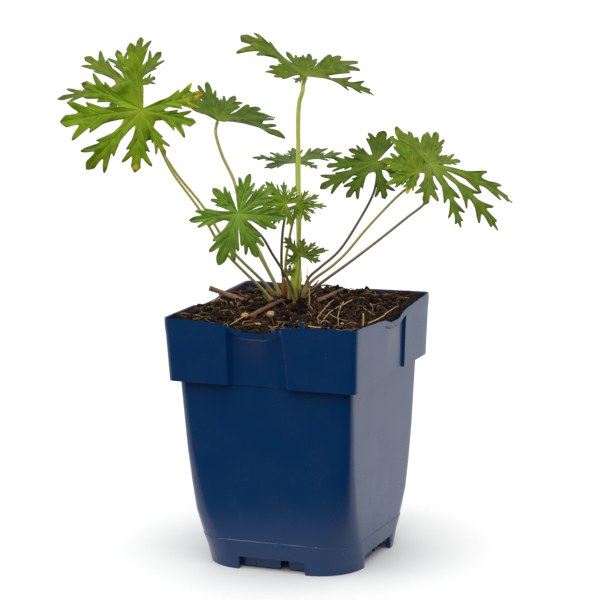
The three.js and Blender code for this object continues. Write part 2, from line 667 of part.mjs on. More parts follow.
// The origin lies under the middle of the whole plant's spread.
part.updateMatrixWorld(true);
const spread = new THREE.Box3().setFromObject(part, true);
const middle = spread.getCenter(new THREE.Vector3());
part.position.set(-middle.x, -middle.y, -spread.min.z);

export default part;
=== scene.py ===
"""A young hardy geranium in its square nursery pot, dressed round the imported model.

Every shape is worked out in millimetres, either in the pot's frame (its upright axis at the
origin, its front face looking along -Y) or in the plant's frame, which is turned about that axis.
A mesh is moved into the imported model's frame, in metres, when it is made.
"""
from __future__ import annotations

import logging
import math
from dataclasses import dataclass, field
from enum import Enum

import bmesh
import bpy
import numpy as np
from mathutils import Matrix, Vector

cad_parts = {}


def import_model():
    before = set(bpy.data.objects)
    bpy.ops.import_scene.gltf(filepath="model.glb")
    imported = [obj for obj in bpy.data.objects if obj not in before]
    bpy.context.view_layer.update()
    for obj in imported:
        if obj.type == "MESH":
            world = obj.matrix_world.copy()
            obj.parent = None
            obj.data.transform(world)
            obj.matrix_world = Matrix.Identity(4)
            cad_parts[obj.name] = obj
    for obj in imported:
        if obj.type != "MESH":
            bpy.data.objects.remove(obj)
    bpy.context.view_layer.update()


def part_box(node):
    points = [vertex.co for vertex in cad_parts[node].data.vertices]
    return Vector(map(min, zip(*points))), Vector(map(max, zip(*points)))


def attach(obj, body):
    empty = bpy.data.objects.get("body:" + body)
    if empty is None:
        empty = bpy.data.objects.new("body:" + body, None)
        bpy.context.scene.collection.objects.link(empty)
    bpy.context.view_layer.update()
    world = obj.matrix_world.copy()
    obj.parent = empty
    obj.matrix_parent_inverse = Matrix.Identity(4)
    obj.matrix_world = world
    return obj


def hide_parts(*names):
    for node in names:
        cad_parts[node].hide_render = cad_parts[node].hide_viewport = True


log = logging.getLogger("hardy_geranium")

MM = 0.001
PLANT_TURN = 23.0
CROWN = (-3.0, 10.0, 132.0)
Colour = tuple[float, float, float]


# ---------------------------------------------------------------- numbers and noise
def ink(red: int, green: int, blue: int) -> Colour:
    """A colour given in screen values from 0 to 255, as the linear values that shaders take."""
    screen = np.array([red, green, blue]) / 255.0
    linear = np.where(screen <= 0.04045, screen / 12.92, ((screen + 0.055) / 1.055) ** 2.4)
    return tuple(float(value) for value in linear)


def smooth(share: np.ndarray) -> np.ndarray:
    """The usual S curve: 3s^2 - 2s^3, with s held between 0 and 1."""
    held = np.clip(share, 0.0, 1.0)
    return held * held * (3.0 - 2.0 * held)


def turned(points: np.ndarray, degrees: float) -> np.ndarray:
    """Points turned about the upright axis: (x cos - y sin, x sin + y cos, z)."""
    cos, sin = math.cos(math.radians(degrees)), math.sin(math.radians(degrees))
    x, y = points[..., 0], points[..., 1]
    return np.stack([x * cos - y * sin, x * sin + y * cos, points[..., 2]], axis=-1)


def planted(points: np.ndarray) -> np.ndarray:
    """Points of the plant's frame, in the pot's frame."""
    return turned(points, PLANT_TURN)


def lattice(cells: np.ndarray, seed: float) -> np.ndarray:
    """A repeatable value from -1 to 1 for each whole-number cell: frac(sin(cell . k) * large)."""
    mixed = cells @ np.array([12.9898, 78.233, 37.719]) + seed * 4.1414
    return np.modf(np.sin(mixed) * 43758.5453)[0]


def lumps(points: np.ndarray, size: float, seed: float = 0.0) -> np.ndarray:
    """Value noise: lattice values at the corners of cells of this size, blended by S curves.

    Args:
        points: places, (..., 3).
        size: the edge of a cell, in the points' units.
        seed: which noise.

    Returns:
        Values from -1 to 1, one for each place.
    """
    scaled = np.asarray(points, float) / size
    cell = np.floor(scaled)
    share = smooth(scaled - cell)
    total = np.zeros(scaled.shape[:-1])
    for corner in np.ndindex(2, 2, 2):
        weight = np.prod(np.where(np.array(corner) == 1, share, 1.0 - share), axis=-1)
        total += weight * lattice(cell + np.array(corner), seed)
    return total


def unit(vectors: np.ndarray) -> np.ndarray:
    """Vectors scaled to length one."""
    return vectors / np.maximum(np.linalg.norm(vectors, axis=-1, keepdims=True), 1e-12)


def catmull_rom(points: np.ndarray, steps: int) -> np.ndarray:
    """A centripetal Catmull-Rom curve: Hermite pieces whose knots lie root-chord apart.

    Args:
        points: the points that it passes through, (n, 3).
        steps: places on each stretch between two points.

    Returns:
        The places along it, ((n - 1) * steps + 1, 3).
    """
    whole = np.vstack([2 * points[:1] - points[1:2], points, 2 * points[-1:] - points[-2:-1]])
    gaps = np.maximum(np.linalg.norm(np.diff(whole, axis=0), axis=1) ** 0.5, 1e-4)[:, None]
    before, along, after = gaps[:-2], gaps[1:-1], gaps[2:]
    p0, p1, p2, p3 = whole[:-3], whole[1:-2], whole[2:-1], whole[3:]
    leave = ((p1 - p0) / before - (p2 - p0) / (before + along) + (p2 - p1) / along) * along
    arrive = ((p2 - p1) / along - (p3 - p1) / (along + after) + (p3 - p2) / after) * along
    t = (np.arange(steps) / steps)[None, :, None]
    cubic = 2 * p1 - 2 * p2 + leave + arrive
    square = -3 * p1 + 3 * p2 - 2 * leave - arrive
    curve = cubic[:, None] * t**3 + square[:, None] * t**2 + leave[:, None] * t + p1[:, None]
    return np.vstack([curve.reshape(-1, 3), points[-1:]])


# ---------------------------------------------------------------- meshes
def grid_faces(rows: int, columns: int, closed: bool = False) -> np.ndarray:
    """The four-cornered faces of a grid of points that is stored row by row."""
    row = np.arange(rows - 1)[:, None] * columns
    column = np.arange(columns if closed else columns - 1)[None, :]
    following = (column + 1) % columns
    corners = [row + column, row + following, row + columns + following, row + columns + column]
    return np.stack(corners, axis=-1).reshape(-1, 4)


@dataclass
class Patchwork:
    """Points, faces and point values gathered from several surfaces into one mesh."""

    points: list[np.ndarray] = field(default_factory=list)
    faces: list[np.ndarray] = field(default_factory=list)
    values: dict[str, list[np.ndarray]] = field(default_factory=dict)
    count: int = 0

    def add(self, points: np.ndarray, *faces: np.ndarray, **values: np.ndarray | float) -> None:
        """Add a surface: its points, its faces as corner numbers, and named point values."""
        flat = points.reshape(-1, 3)
        self.points.append(flat)
        self.faces.extend(group + self.count for group in faces)
        for name, value in values.items():
            spread = np.broadcast_to(np.asarray(value, float), points.shape[:-1]).reshape(-1)
            self.values.setdefault(name, []).append(spread)
        self.count += len(flat)

    def add_stack(self, rings: np.ndarray, bottom: np.ndarray, top: np.ndarray,
                  **values: np.ndarray | float) -> None:
        """Add a closed surface through rings of points, with a fan to a point at each end.

        Args:
            rings: the rings in turn, (rows, n, 3), anticlockwise seen from the last one's end.
            bottom: the point that closes the first ring.
            top: the point that closes the last ring.
            values: named point values: one number, or one for each ring point and both ends.
        """
        rows, count = rings.shape[:2]
        around = np.arange(count)
        following = (around + 1) % count
        last = (rows - 1) * count
        fans = np.vstack([
            np.stack([np.full(count, rows * count), following, around], axis=1),
            np.stack([np.full(count, rows * count + 1), last + around, last + following], axis=1)])
        points = np.vstack([rings.reshape(-1, 3), [bottom], [top]])
        self.add(points, grid_faces(rows, count, closed=True), fans, **values)

    def add_tube(self, path: np.ndarray, radii: np.ndarray, sides: int, **values: float) -> None:
        """Add a round tube with closed ends.

        A ring round each place of the path: path + radius (cos a side + sin a up), where side
        and up are square to the path there.

        Args:
            path: the centreline, (n, 3).
            radii: its radius at each place.
            sides: faces round it.
            values: named point values; "along" is worked out, from 0 to 1.
        """
        tangent = unit(np.gradient(path, axis=0))
        least = np.argmin(np.abs(tangent).max(axis=0))
        side = unit(np.cross(tangent, np.eye(3)[least]))
        up = np.cross(tangent, side)
        angle = np.linspace(0, 2 * np.pi, sides, endpoint=False)[None, :, None]
        ring = np.cos(angle) * side[:, None] + np.sin(angle) * up[:, None]
        surface = path[:, None] + np.reshape(radii, (-1, 1, 1)) * ring
        along = np.append(np.repeat(np.linspace(0, 1, len(path)), sides), [0.0, 1.0])
        self.add_stack(surface, path[0], path[-1], along=along, **values)

    def build(self, name: str, origin: np.ndarray, weld: float = 0.0) -> bpy.types.Object:
        """Make the mesh object.

        Args:
            name: the object's name.
            origin: the pot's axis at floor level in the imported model's frame, in metres.
            weld: points closer than this many millimetres become one, and faces turn outwards.

        Returns:
            The object, at the origin, with its place in its mesh.
        """
        mesh = bpy.data.meshes.new(name)
        points = np.vstack(self.points) * MM + origin
        corners = np.concatenate([group.reshape(-1) for group in self.faces])
        sizes = np.concatenate([np.full(len(group), group.shape[1]) for group in self.faces])
        mesh.vertices.add(len(points))
        mesh.vertices.foreach_set("co", points.astype(np.float32).reshape(-1))
        mesh.loops.add(len(corners))
        mesh.loops.foreach_set("vertex_index", corners.astype(np.int32))
        mesh.polygons.add(len(sizes))
        starts = np.concatenate([[0], np.cumsum(sizes)[:-1]])
        mesh.polygons.foreach_set("loop_start", starts.astype(np.int32))
        mesh.update(calc_edges=True)
        for value_name, parts in self.values.items():
            layer = mesh.attributes.new(value_name, "FLOAT", "POINT")
            layer.data.foreach_set("value", np.concatenate(parts).astype(np.float32))
        if weld > 0:
            work = bmesh.new()
            work.from_mesh(mesh)
            bmesh.ops.remove_doubles(work, verts=work.verts, dist=weld * MM)
            bmesh.ops.recalc_face_normals(work, faces=work.faces)
            work.to_mesh(mesh)
            work.free()
        mesh.shade_smooth()
        piece = bpy.data.objects.new(name, mesh)
        bpy.context.scene.collection.objects.link(piece)
        return piece

    def dress(self, name: str, origin: np.ndarray, skin: bpy.types.Material, slot: str,
              *nodes: str, weld: float = 0.0) -> bpy.types.Object:
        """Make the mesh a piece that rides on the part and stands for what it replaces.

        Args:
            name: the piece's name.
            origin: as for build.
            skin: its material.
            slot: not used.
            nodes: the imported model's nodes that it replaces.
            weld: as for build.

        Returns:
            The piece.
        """
        piece = self.build(name, origin, weld)
        piece.data.materials.append(skin)
        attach(piece, "root")
        if nodes:
            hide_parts(*nodes)
        log.info("%s: %d faces", piece.name, len(piece.data.polygons))
        return piece


# ---------------------------------------------------------------- materials
class NodeWork:
    """A node tree that starts empty."""

    def __init__(self, tree: bpy.types.NodeTree) -> None:
        """Clear the tree."""
        self.tree = tree
        tree.nodes.clear()

    def node(self, kind: str, **settings: object) -> bpy.types.Node:
        """Add a node and set its named properties."""
        made = self.tree.nodes.new(kind)
        for name, value in settings.items():
            setattr(made, name, value)
        return made

    def feed(self, socket: bpy.types.NodeSocket, value: object) -> None:
        """Link a socket to another, or set it to a number, a vector or a colour."""
        if isinstance(value, bpy.types.NodeSocket):
            self.tree.links.new(value, socket)
        else:
            socket.default_value = (*value, 1.0) if socket.type == "RGBA" else value

    def remap(self, value: bpy.types.NodeSocket, low: float, high: float,
              out_low: float = 0.0, out_high: float = 1.0) -> bpy.types.NodeSocket:
        """A value between low and high, moved to between out_low and out_high by an S curve."""
        made = self.node("ShaderNodeMapRange", interpolation_type="SMOOTHSTEP")
        numbers = {"Value": value, "From Min": low, "From Max": high,
                   "To Min": out_low, "To Max": out_high}
        for name, number in numbers.items():
            self.feed(made.inputs[name], number)
        return made.outputs["Result"]

    def combine(self, kind: str, first: object, second: object) -> bpy.types.NodeSocket:
        """A sum, product, maximum and so on of two values."""
        made = self.node("ShaderNodeMath", operation=kind)
        self.feed(made.inputs[0], first)
        self.feed(made.inputs[1], second)
        return made.outputs[0]


class Recipe(NodeWork):
    """A material round a single Principled shader, whose shade is built up in layers."""

    def __init__(self, name: str, ground: Colour) -> None:
        """Start a material of this name with its undermost colour."""
        self.material = bpy.data.materials.new(name)
        self.material.use_nodes = True
        super().__init__(self.material.node_tree)
        self.shade: object = ground
        self.shader = self.node("ShaderNodeBsdfPrincipled")
        output = self.node("ShaderNodeOutputMaterial")
        self.feed(output.inputs["Surface"], self.shader.outputs["BSDF"])
        self.place = self.node("ShaderNodeTexCoord").outputs["Object"]

    def value(self, name: str) -> bpy.types.NodeSocket:
        """A named point value of the mesh."""
        return self.node("ShaderNodeAttribute", attribute_name=name).outputs["Fac"]

    def noise(self, size_mm: float, detail: float = 3.0,
              stretch: Colour = (1.0, 1.0, 1.0)) -> bpy.types.NodeSocket:
        """Noise from 0 to 1 with features of about this size, stretched along the axes."""
        mapping = self.node("ShaderNodeMapping")
        self.feed(mapping.inputs["Vector"], self.place)
        self.feed(mapping.inputs["Scale"], tuple(1.0 / axis for axis in stretch))
        texture = self.node("ShaderNodeTexNoise")
        self.feed(texture.inputs["Vector"], mapping.outputs["Vector"])
        self.feed(texture.inputs["Scale"], 1.0 / (size_mm * MM))
        self.feed(texture.inputs["Detail"], detail)
        return texture.outputs["Fac"]

    def layer(self, share: bpy.types.NodeSocket, colour: Colour, most: float = 1.0) -> None:
        """Lay a colour over the shade, as thickly as share times most."""
        if most != 1.0:
            share = self.combine("MULTIPLY", share, most)
        made = self.node("ShaderNodeMix", data_type="RGBA")
        self.feed(made.inputs["Factor"], share)
        colours = [socket for socket in made.inputs if socket.type == "RGBA"]
        self.feed(colours[0], self.shade)
        self.feed(colours[1], colour)
        self.shade = next(socket for socket in made.outputs if socket.type == "RGBA")

    def bump(self, height: bpy.types.NodeSocket, depth_mm: float, strength: float = 1.0) -> None:
        """Raise the surface's look by this height."""
        made = self.node("ShaderNodeBump")
        self.feed(made.inputs["Distance"], depth_mm * MM)
        self.feed(made.inputs["Strength"], strength)
        self.feed(made.inputs["Height"], height)
        self.feed(self.shader.inputs["Normal"], made.outputs["Normal"])

    def done(self, **inputs: object) -> bpy.types.Material:
        """Set the shader's sockets, where underscores stand for spaces, and hand it over."""
        for name, value in {"Base_Color": self.shade, **inputs}.items():
            self.feed(self.shader.inputs[name.replace("_", " ")], value)
        return self.material


@dataclass(frozen=True)
class PotPlastic:
    """Smooth moulded polypropylene, dark navy, with faint dust, a few scuffs, and soil dirt and painted
    shade on the inner wall.
    """

    body: Colour = ink(0, 49, 96)
    dusty: Colour = ink(40, 58, 92)
    # A dark soil colour that also serves as painted shade inside the rim.
    soiled_and_shaded: Colour = ink(34, 20, 28)
    scuffed: Colour = ink(150, 160, 195)

    def make(self) -> bpy.types.Material:
        """Navy under fine dust, with a soft gloss that smudges vary."""
        recipe = Recipe("navy_moulded_plastic", self.body)
        specks = recipe.remap(recipe.noise(0.9, 2.0), 0.70, 0.78)
        patchy = recipe.remap(recipe.noise(11.0, 4.0), 0.5, 0.75)
        runs = recipe.noise(3.0, 2.0, (1.0, 1.0, 14.0))
        recipe.layer(recipe.remap(recipe.noise(28.0), 0.35, 0.7, 0.0, 0.03), self.dusty)
        recipe.layer(recipe.remap(recipe.value("low"), 0.0, 1.0, 0.0, 0.1), self.dusty)
        recipe.layer(recipe.combine("MULTIPLY", specks, patchy), self.dusty, 0.03)
        recipe.layer(recipe.remap(runs, 0.45, 0.75, 0.0, 0.06), self.dusty)
        # Inside the rim: soil dirt and painted shade, laid on as this darker colour.
        recipe.layer(recipe.value("grime"), self.soiled_and_shaded, 0.65)
        recipe.layer(recipe.value("scuff"), self.scuffed, 0.6)
        recipe.bump(recipe.noise(2.2, 2.0), 0.02, 0.05)
        smudges = recipe.remap(recipe.noise(14.0, 2.0), 0.3, 0.7, 0.22, 0.28)
        return recipe.done(IOR=1.46, Roughness=smudges)


@dataclass(frozen=True)
class Compost:
    """Dark crumbly compost with peat fibres."""

    dark: Colour = ink(12, 9, 8)
    warm: Colour = ink(46, 33, 24)
    fibre: Colour = ink(108, 80, 54)

    def make(self) -> bpy.types.Material:
        """Near black, with warm patches and light fibres, and a rough broken surface."""
        recipe = Recipe("crumbly_compost", self.dark)
        recipe.layer(recipe.remap(recipe.noise(3.5, 4.0), 0.45, 0.72), self.warm)
        strands = recipe.remap(recipe.noise(1.0, 3.0, (1.0, 3.4, 1.0)), 0.60, 0.72)
        patch = recipe.remap(recipe.noise(9.0, 2.0), 0.48, 0.66)
        recipe.layer(recipe.combine("MULTIPLY", strands, patch), self.fibre)
        recipe.bump(recipe.noise(0.8, 4.0), 0.5, 0.9)
        return recipe.done(Roughness=0.92, Specular_IOR_Level=0.12)


@dataclass(frozen=True)
class Litter:
    """Loose bits whose colour runs from dark to light with the value "tint"."""

    name: str
    dark: Colour
    light: Colour
    grain_mm: float = 0.6
    roughness: float = 0.85

    def make(self) -> bpy.types.Material:
        """Two colours by each bit's own tint, broken up by fine grain."""
        recipe = Recipe(self.name, self.dark)
        grain = recipe.noise(self.grain_mm)
        share = recipe.combine("ADD", recipe.value("tint"), recipe.remap(grain, 0.3, 0.7, -0.2, 0.2))
        recipe.layer(recipe.remap(share, 0.0, 1.0), self.light)
        recipe.bump(grain, 0.15, 0.7)
        return recipe.done(Roughness=self.roughness, Specular_IOR_Level=0.12)


class StalkTone(Enum):
    """How a leaf stalk is coloured: at its foot, half way and below the blade."""

    STRAW = ((160, 157, 104), (200, 190, 88), (188, 168, 82))
    BRONZE = ((132, 116, 98), (192, 184, 96), (188, 168, 82))
    OLIVE = ((172, 164, 104), (196, 196, 108), (204, 200, 104))
    DUSKY = ((120, 99, 70), (124, 102, 90), (128, 108, 92))
    UMBER = ((150, 130, 80), (126, 106, 76), (120, 100, 74))
    PLUM = ((92, 80, 66), (144, 131, 96), (174, 162, 102))
    GREEN = ((138, 122, 58), (122, 142, 42), (116, 138, 32))
    YELLOW = ((120, 108, 74), (172, 166, 84), (190, 178, 80))
    LEAFY = ((176, 196, 66), (196, 212, 80), (204, 212, 90))
    SHEATH = ((228, 224, 112), (226, 238, 78), (210, 232, 68))
    RED_SHEATH = ((156, 82, 60), (184, 116, 82), (178, 148, 88))
    BROWN = ((108, 92, 68), (158, 114, 88), (112, 80, 62))
    RUST = ((130, 88, 64), (124, 82, 64), (104, 74, 60))

    def make(self) -> bpy.types.Material:
        """Three colours along the stalk, fine lengthways streaks and a satin skin."""
        foot, middle, top = (ink(*shade) for shade in self.value)
        recipe = Recipe(f"stalk_skin_{self.name.lower()}", foot)
        along = recipe.value("along")
        recipe.layer(recipe.remap(along, 0.0, 0.45), middle)
        recipe.layer(recipe.remap(along, 0.5, 1.0), top)
        streaks = recipe.remap(recipe.noise(0.7, 3.0, (1.0, 1.0, 9.0)), 0.35, 0.7)
        dry = self in (StalkTone.BROWN, StalkTone.RUST)
        recipe.layer(streaks, tuple(channel * 0.55 for channel in middle), 0.6 if dry else 0.25)
        recipe.bump(streaks, 0.2 if dry else 0.06, 0.6)
        return recipe.done(Roughness=0.8 if dry else 0.5)


YELLOWING = ink(206, 176, 10)
DRIED = ink(88, 60, 22)


class LeafTone(Enum):
    """A blade's colours: between the veins, at the veins and hub, and at the tips."""

    MID = ((114, 145, 4), (146, 168, 28), (88, 92, 20))
    CANOPY = ((82, 102, 6), (112, 128, 26), (74, 66, 24))
    OLIVE = ((92, 114, 10), (126, 140, 30), (84, 70, 24))
    GREYED = ((78, 103, 4), (106, 128, 26), (64, 78, 16))
    COOL = ((103, 139, 36), (132, 166, 50), (82, 110, 30))
    FRESH = ((101, 129, 6), (128, 147, 20), (84, 92, 16))
    SHADED = ((86, 110, 34), (118, 134, 58), (74, 88, 36))
    DEEP = ((84, 100, 6), (110, 122, 18), (70, 68, 18))
    YELLOWED = ((96, 126, 0), (136, 148, 14), (150, 116, 14))
    DUSKY = ((98, 122, 20), (124, 142, 42), (96, 88, 36))

    def make(self) -> bpy.types.Material:
        """Green between lighter veins, with tips that brown or yellow where the mesh says so."""
        between, vein, tip = (ink(*shade) for shade in self.value)
        darker = tuple(channel * 0.62 for channel in between)
        pale = tuple(min(1.0, channel * 1.15 + 0.035) for channel in between)
        recipe = Recipe(f"leaf_skin_{self.name.lower()}", darker)
        reach, to_vein = recipe.value("reach"), recipe.value("to_vein")
        mottle = recipe.noise(4.5)
        recipe.layer(recipe.remap(mottle, 0.32, 0.66), between)
        recipe.layer(recipe.remap(recipe.noise(1.3), 0.5, 0.75, 0.0, 0.4), darker)
        recipe.layer(recipe.remap(reach, 0.0, 0.42, 0.6, 0.0), vein)
        # Painted shade: a darker band in the furrow beside each vein.
        crease_shade = recipe.combine("MULTIPLY", recipe.remap(to_vein, 0.5, 1.1),
                                recipe.remap(to_vein, 1.4, 3.2, 0.28, 0.0))
        recipe.layer(crease_shade, darker)
        recipe.layer(recipe.remap(to_vein, 0.15, 0.8, 0.35, 0.0), vein)
        recipe.layer(recipe.remap(reach, 0.8, 1.0, 0.0, 0.45), tip)
        patchy = recipe.remap(recipe.noise(4.0, 2.0), 0.3, 0.7, -0.25, 0.25)
        yellow = recipe.combine("ADD", recipe.value("yellow"), patchy)
        recipe.layer(recipe.remap(yellow, 0.28, 0.75), YELLOWING)
        rough = recipe.remap(recipe.noise(2.0), 0.3, 0.7, -0.18, 0.18)
        dry = recipe.combine("ADD", recipe.value("dry"), rough)
        recipe.layer(recipe.remap(dry, 0.45, 0.8), DRIED)
        recipe.layer(recipe.value("under"), pale, 0.55)
        relief = recipe.combine("ADD", recipe.remap(to_vein, 0.0, 2.5),
                                recipe.combine("MULTIPLY", recipe.noise(0.9, 2.0), 0.25))
        recipe.bump(relief, 0.14, 0.8)
        return recipe.done(Roughness=recipe.remap(mottle, 0.2, 0.8, 0.42, 0.56),
                           Specular_IOR_Level=0.12)


_finishes: dict[Enum, bpy.types.Material] = {}


def finish(tone: LeafTone | StalkTone) -> bpy.types.Material:
    """The material of a tone, made once."""
    if tone not in _finishes:
        _finishes[tone] = tone.make()
    return _finishes[tone]


# ---------------------------------------------------------------- the pot
@dataclass(frozen=True)
class Panel:
    """A recessed rim panel between two proud blocks: where it runs along its face.

    The soft value is half the run of the sloping side of the block on its right, and proud is
    how far the panel itself stands out from the wall below. The rim lies the sag below its
    corners at the panel's edges and the dip at its middle; a low hold keeps the sag near them.
    """

    left: float
    right: float
    slant: float = 0.0
    soft: float = 0.45
    proud: float = 0.8
    sag: float = 2.5
    dip: float = 5.4
    hold: float = 0.8

    def edges(self, z: float, low: float, high: float) -> tuple[float, float]:
        """Its left and right edges at a height; the right one leans out towards the bottom."""
        share = min(max((high - z) / (high - low), 0.0), 1.0)
        return self.left, self.right + self.slant * share


@dataclass
class NurseryPot:
    """The square moulded pot: rounded foot, straight walls and a collar of proud blocks."""

    height: float = 138.5
    collar_from: float = 103.5
    wall: float = 1.4
    lip_wall: float = 0.75
    proud: float = 4.1
    collar_radius: float = 3.0
    lip_proud: float = 1.4
    lip_height: float = 2.9
    flank: float = 0.45
    plate: float = 7.6
    skirt: float = 2.0
    band: float = 0.4
    band_top: float = 16.6
    notch_half: float = 19.3
    inner_floor: float = 117.0
    corner_steps: int = 10
    dusty_to: float = 62.0
    # How many rings inside the rim take the soil dirt and painted shade.
    shaded_grimy_rings: int = 3
    edge_round: float = 0.32
    nib_foot: tuple[float, float] = (23.7, 26.2)
    nib_top: tuple[float, float] = (24.3, 25.6)
    nib_rise: float = 2.6
    scratch_height: float = 0.15
    scratches: tuple[tuple[float, float, float], ...] = (
        (-30.5, 4.4, 0.16), (6.8, 21.5, 0.13), (26.3, 27.2, 0.2))
    panels: tuple[Panel, ...] = (
        Panel(-18.6, 12.4, 2.6, 1.1, hold=0.25), Panel(-14.0, 17.6, proud=2.7),
        Panel(-16.3, 16.3, sag=0.5, dip=1.5), Panel(-16.3, 16.3, sag=0.5, dip=1.5))
    sections: tuple[tuple[float, float, float], ...] = (
        (0.0, 43.6, 24.0), (8.0, 44.3, 22.0), (18.0, 45.7, 17.5), (31.0, 46.8, 12.0),
        (46.0, 47.5, 9.0), (66.0, 48.3, 6.0), (103.5, 49.8, 4.0), (138.5, 51.4, 3.0))
    pads: tuple[tuple[float, float, float], ...] = (
        (-20.6, -10.8, 4.6), (-10.8, 3.6, 4.2), (8.1, 17.5, 4.6))

    def body_at(self, z: float) -> tuple[float, float]:
        """Half width and corner radius of the body at a height, between its sections."""
        heights, halves, radii = np.array(self.sections).T
        return float(np.interp(z, heights, halves)), float(np.interp(z, heights, radii))

    def marks(self, face: int, z: float, flat: float) -> np.ndarray:
        """Places along a face where a ring has its points, closest at the blocks' edges."""
        left, right = self.panels[face].edges(z, self.collar_from, self.height)
        low = np.linspace(-flat, left - self.flank, 7)
        soft = self.panels[face].soft
        high = np.linspace(right + soft, flat, 7)
        middle = np.linspace(left + self.flank, right - soft, 15)
        return np.concatenate([low, middle, high])

    def share(self, face: int, z: float, along: np.ndarray) -> np.ndarray:
        """How much of a block stands at each place: 1 on it, 0 on the panel."""
        left, right = self.panels[face].edges(z, self.collar_from, self.height)
        soft = self.panels[face].soft
        beyond = np.maximum((left - along) / self.flank, (along - right) / soft)
        return np.clip(beyond / 2 + 0.5, 0.0, 1.0)

    def rim(self, face: int, along: np.ndarray) -> np.ndarray:
        """The wavy rim: it sags from a corner to a block's edge and dips across the panel."""
        panel = self.panels[face]
        left, right = panel.edges(self.height, self.collar_from, self.height)
        middle, half = (left + right) / 2, (right - left) / 2
        away = np.abs(along - middle)
        corner = self.body_at(self.height)[0]
        on_block = panel.sag * (1 - np.clip((away - half) / (corner - half), 0, 1) ** panel.hold)
        dip = 1 - smooth((away - 0.3 * half) / (0.8 * half))
        return self.height - on_block - (panel.dip - panel.sag) * dip

    def ring(self, z: float, inset: float = 0.0, collar: bool = False, lip: float = 0.0,
             below_rim: float | None = None, notched: bool = False) -> np.ndarray:
        """One closed ring round the pot.

        Straight marks along each face, then an arc round each corner. The collar's panels lie
        back by the blocks' pride, less the lip's.

        Args:
            z: its height, unless below_rim is given.
            inset: how far it lies in from the outside.
            collar: whether it belongs to the collar.
            lip: how far a panel's lip stands out from the panel.
            below_rim: its depth below the wavy rim.
            notched: whether it rises over the drain notches.

        Returns:
            Its points, (n, 3).
        """
        half, radius = self.body_at(z)
        proud = self.proud if collar else 0.0
        half += proud
        radius = self.collar_radius if collar else radius
        flat = half - radius
        corner = np.linspace(0, np.pi / 2, self.corner_steps + 1)[1:-1]
        faces = []
        for face in range(4):
            along = self.marks(face, z, flat)
            panel = self.panels[face].proud + lip
            out = -inset - max(proud - panel, 0.0) * (1 - self.share(face, z, along))
            height = np.full_like(along, z)
            if below_rim is not None:
                height = self.rim(face, along) - below_rim
            if notched:
                height = np.where(np.abs(along) < self.notch_half, self.plate - 0.6, z)
            straight = np.stack([along, -(half + out), height], axis=-1)
            around = radius - inset
            top = self.height - (below_rim or 0.0) if below_rim is not None else z
            bend = np.stack([flat + around * np.sin(corner), -(flat + around * np.cos(corner)),
                             np.full_like(corner, top)], axis=-1)
            faces.append(turned(np.vstack([straight, bend]), 90.0 * face))
        return np.vstack(faces)

    def rings(self) -> list[np.ndarray]:
        """Every ring in turn, from the base plate out, up the wall, over the rim and down."""
        foot = self.ring(0.0, inset=self.skirt)
        plate = foot.copy()
        plate[:, 2] = self.plate
        body = [self.ring(z, inset=-self.band) for z in (9.5, 13.0, self.band_top - 0.25)]
        body += [self.ring(z) for z in (self.band_top, 20.0, 25.0, 31.0, 38.0, 46.0, 56.0, 66.0, 85.0)]
        top = self.height
        return [
            plate, self.ring(0.0, inset=self.skirt, notched=True),
            self.ring(0.0, inset=-self.band, notched=True),
            *body, self.ring(self.collar_from - 0.2), self.ring(self.collar_from),
            self.ring(self.collar_from + 0.5, collar=True),
            self.ring(self.collar_from + 1.2, collar=True),
            self.ring(top - 10.0, collar=True),
            self.ring(top, collar=True, below_rim=self.lip_height + 0.9),
            self.ring(top, collar=True, lip=self.lip_proud, below_rim=self.lip_height),
            self.ring(top, collar=True, lip=self.lip_proud, below_rim=0.0),
            self.ring(top, inset=self.lip_wall, collar=True, lip=self.lip_proud, below_rim=0.3),
            self.ring(top, inset=self.wall, collar=True, lip=0.0, below_rim=2.4),
            self.ring(self.inner_floor, inset=self.wall, collar=True)]

    def build(self, origin: np.ndarray) -> None:
        """The pot as one closed shell through its rings, with the pads behind its notches."""
        rings = np.stack(self.rings())
        heights = np.append(rings[..., 2], [self.plate, self.inner_floor])
        # Value 1 on the rings inside the rim: soil dirt and painted shade on the inner wall.
        grime = np.zeros(len(heights))
        grime[(len(rings) - self.shaded_grimy_rings) * rings.shape[1]:] = 1.0
        work = Patchwork()
        work.add_stack(rings, np.array([0, 0, self.plate]), np.array([0, 0, self.inner_floor]),
                       low=smooth((self.dusty_to - heights) / self.dusty_to), scuff=0.0, grime=grime)
        for face in range(4):
            for left, right, back in self.pads:
                out = self.sections[0][1] - back
                self.add_block(work, face, ((left + 0.3, right - 0.3), (left, right)),
                               (out, out + 0.2), (0.9, self.plate + 0.3), 2.5)
        out = self.body_at(self.height)[0] + self.proud
        self.add_block(work, 0, (self.nib_foot, self.nib_top), (out - 0.1, out - 0.2),
                       (self.height - 3.2, self.height + self.nib_rise), 1.1)
        plastic = PotPlastic().make()
        piece = work.dress("nursery_pot", origin, plastic, "pot_plastic", "pot")
        piece.data.set_sharp_from_angle(angle=math.radians(28))
        bevel = piece.modifiers.new("moulded_edges", "BEVEL")
        bevel.width = self.edge_round * MM
        bevel.segments = 2
        bevel.limit_method = "ANGLE"
        bevel.angle_limit = math.radians(32)
        bevel.harden_normals = True
        self.add_scuffs(origin, plastic)

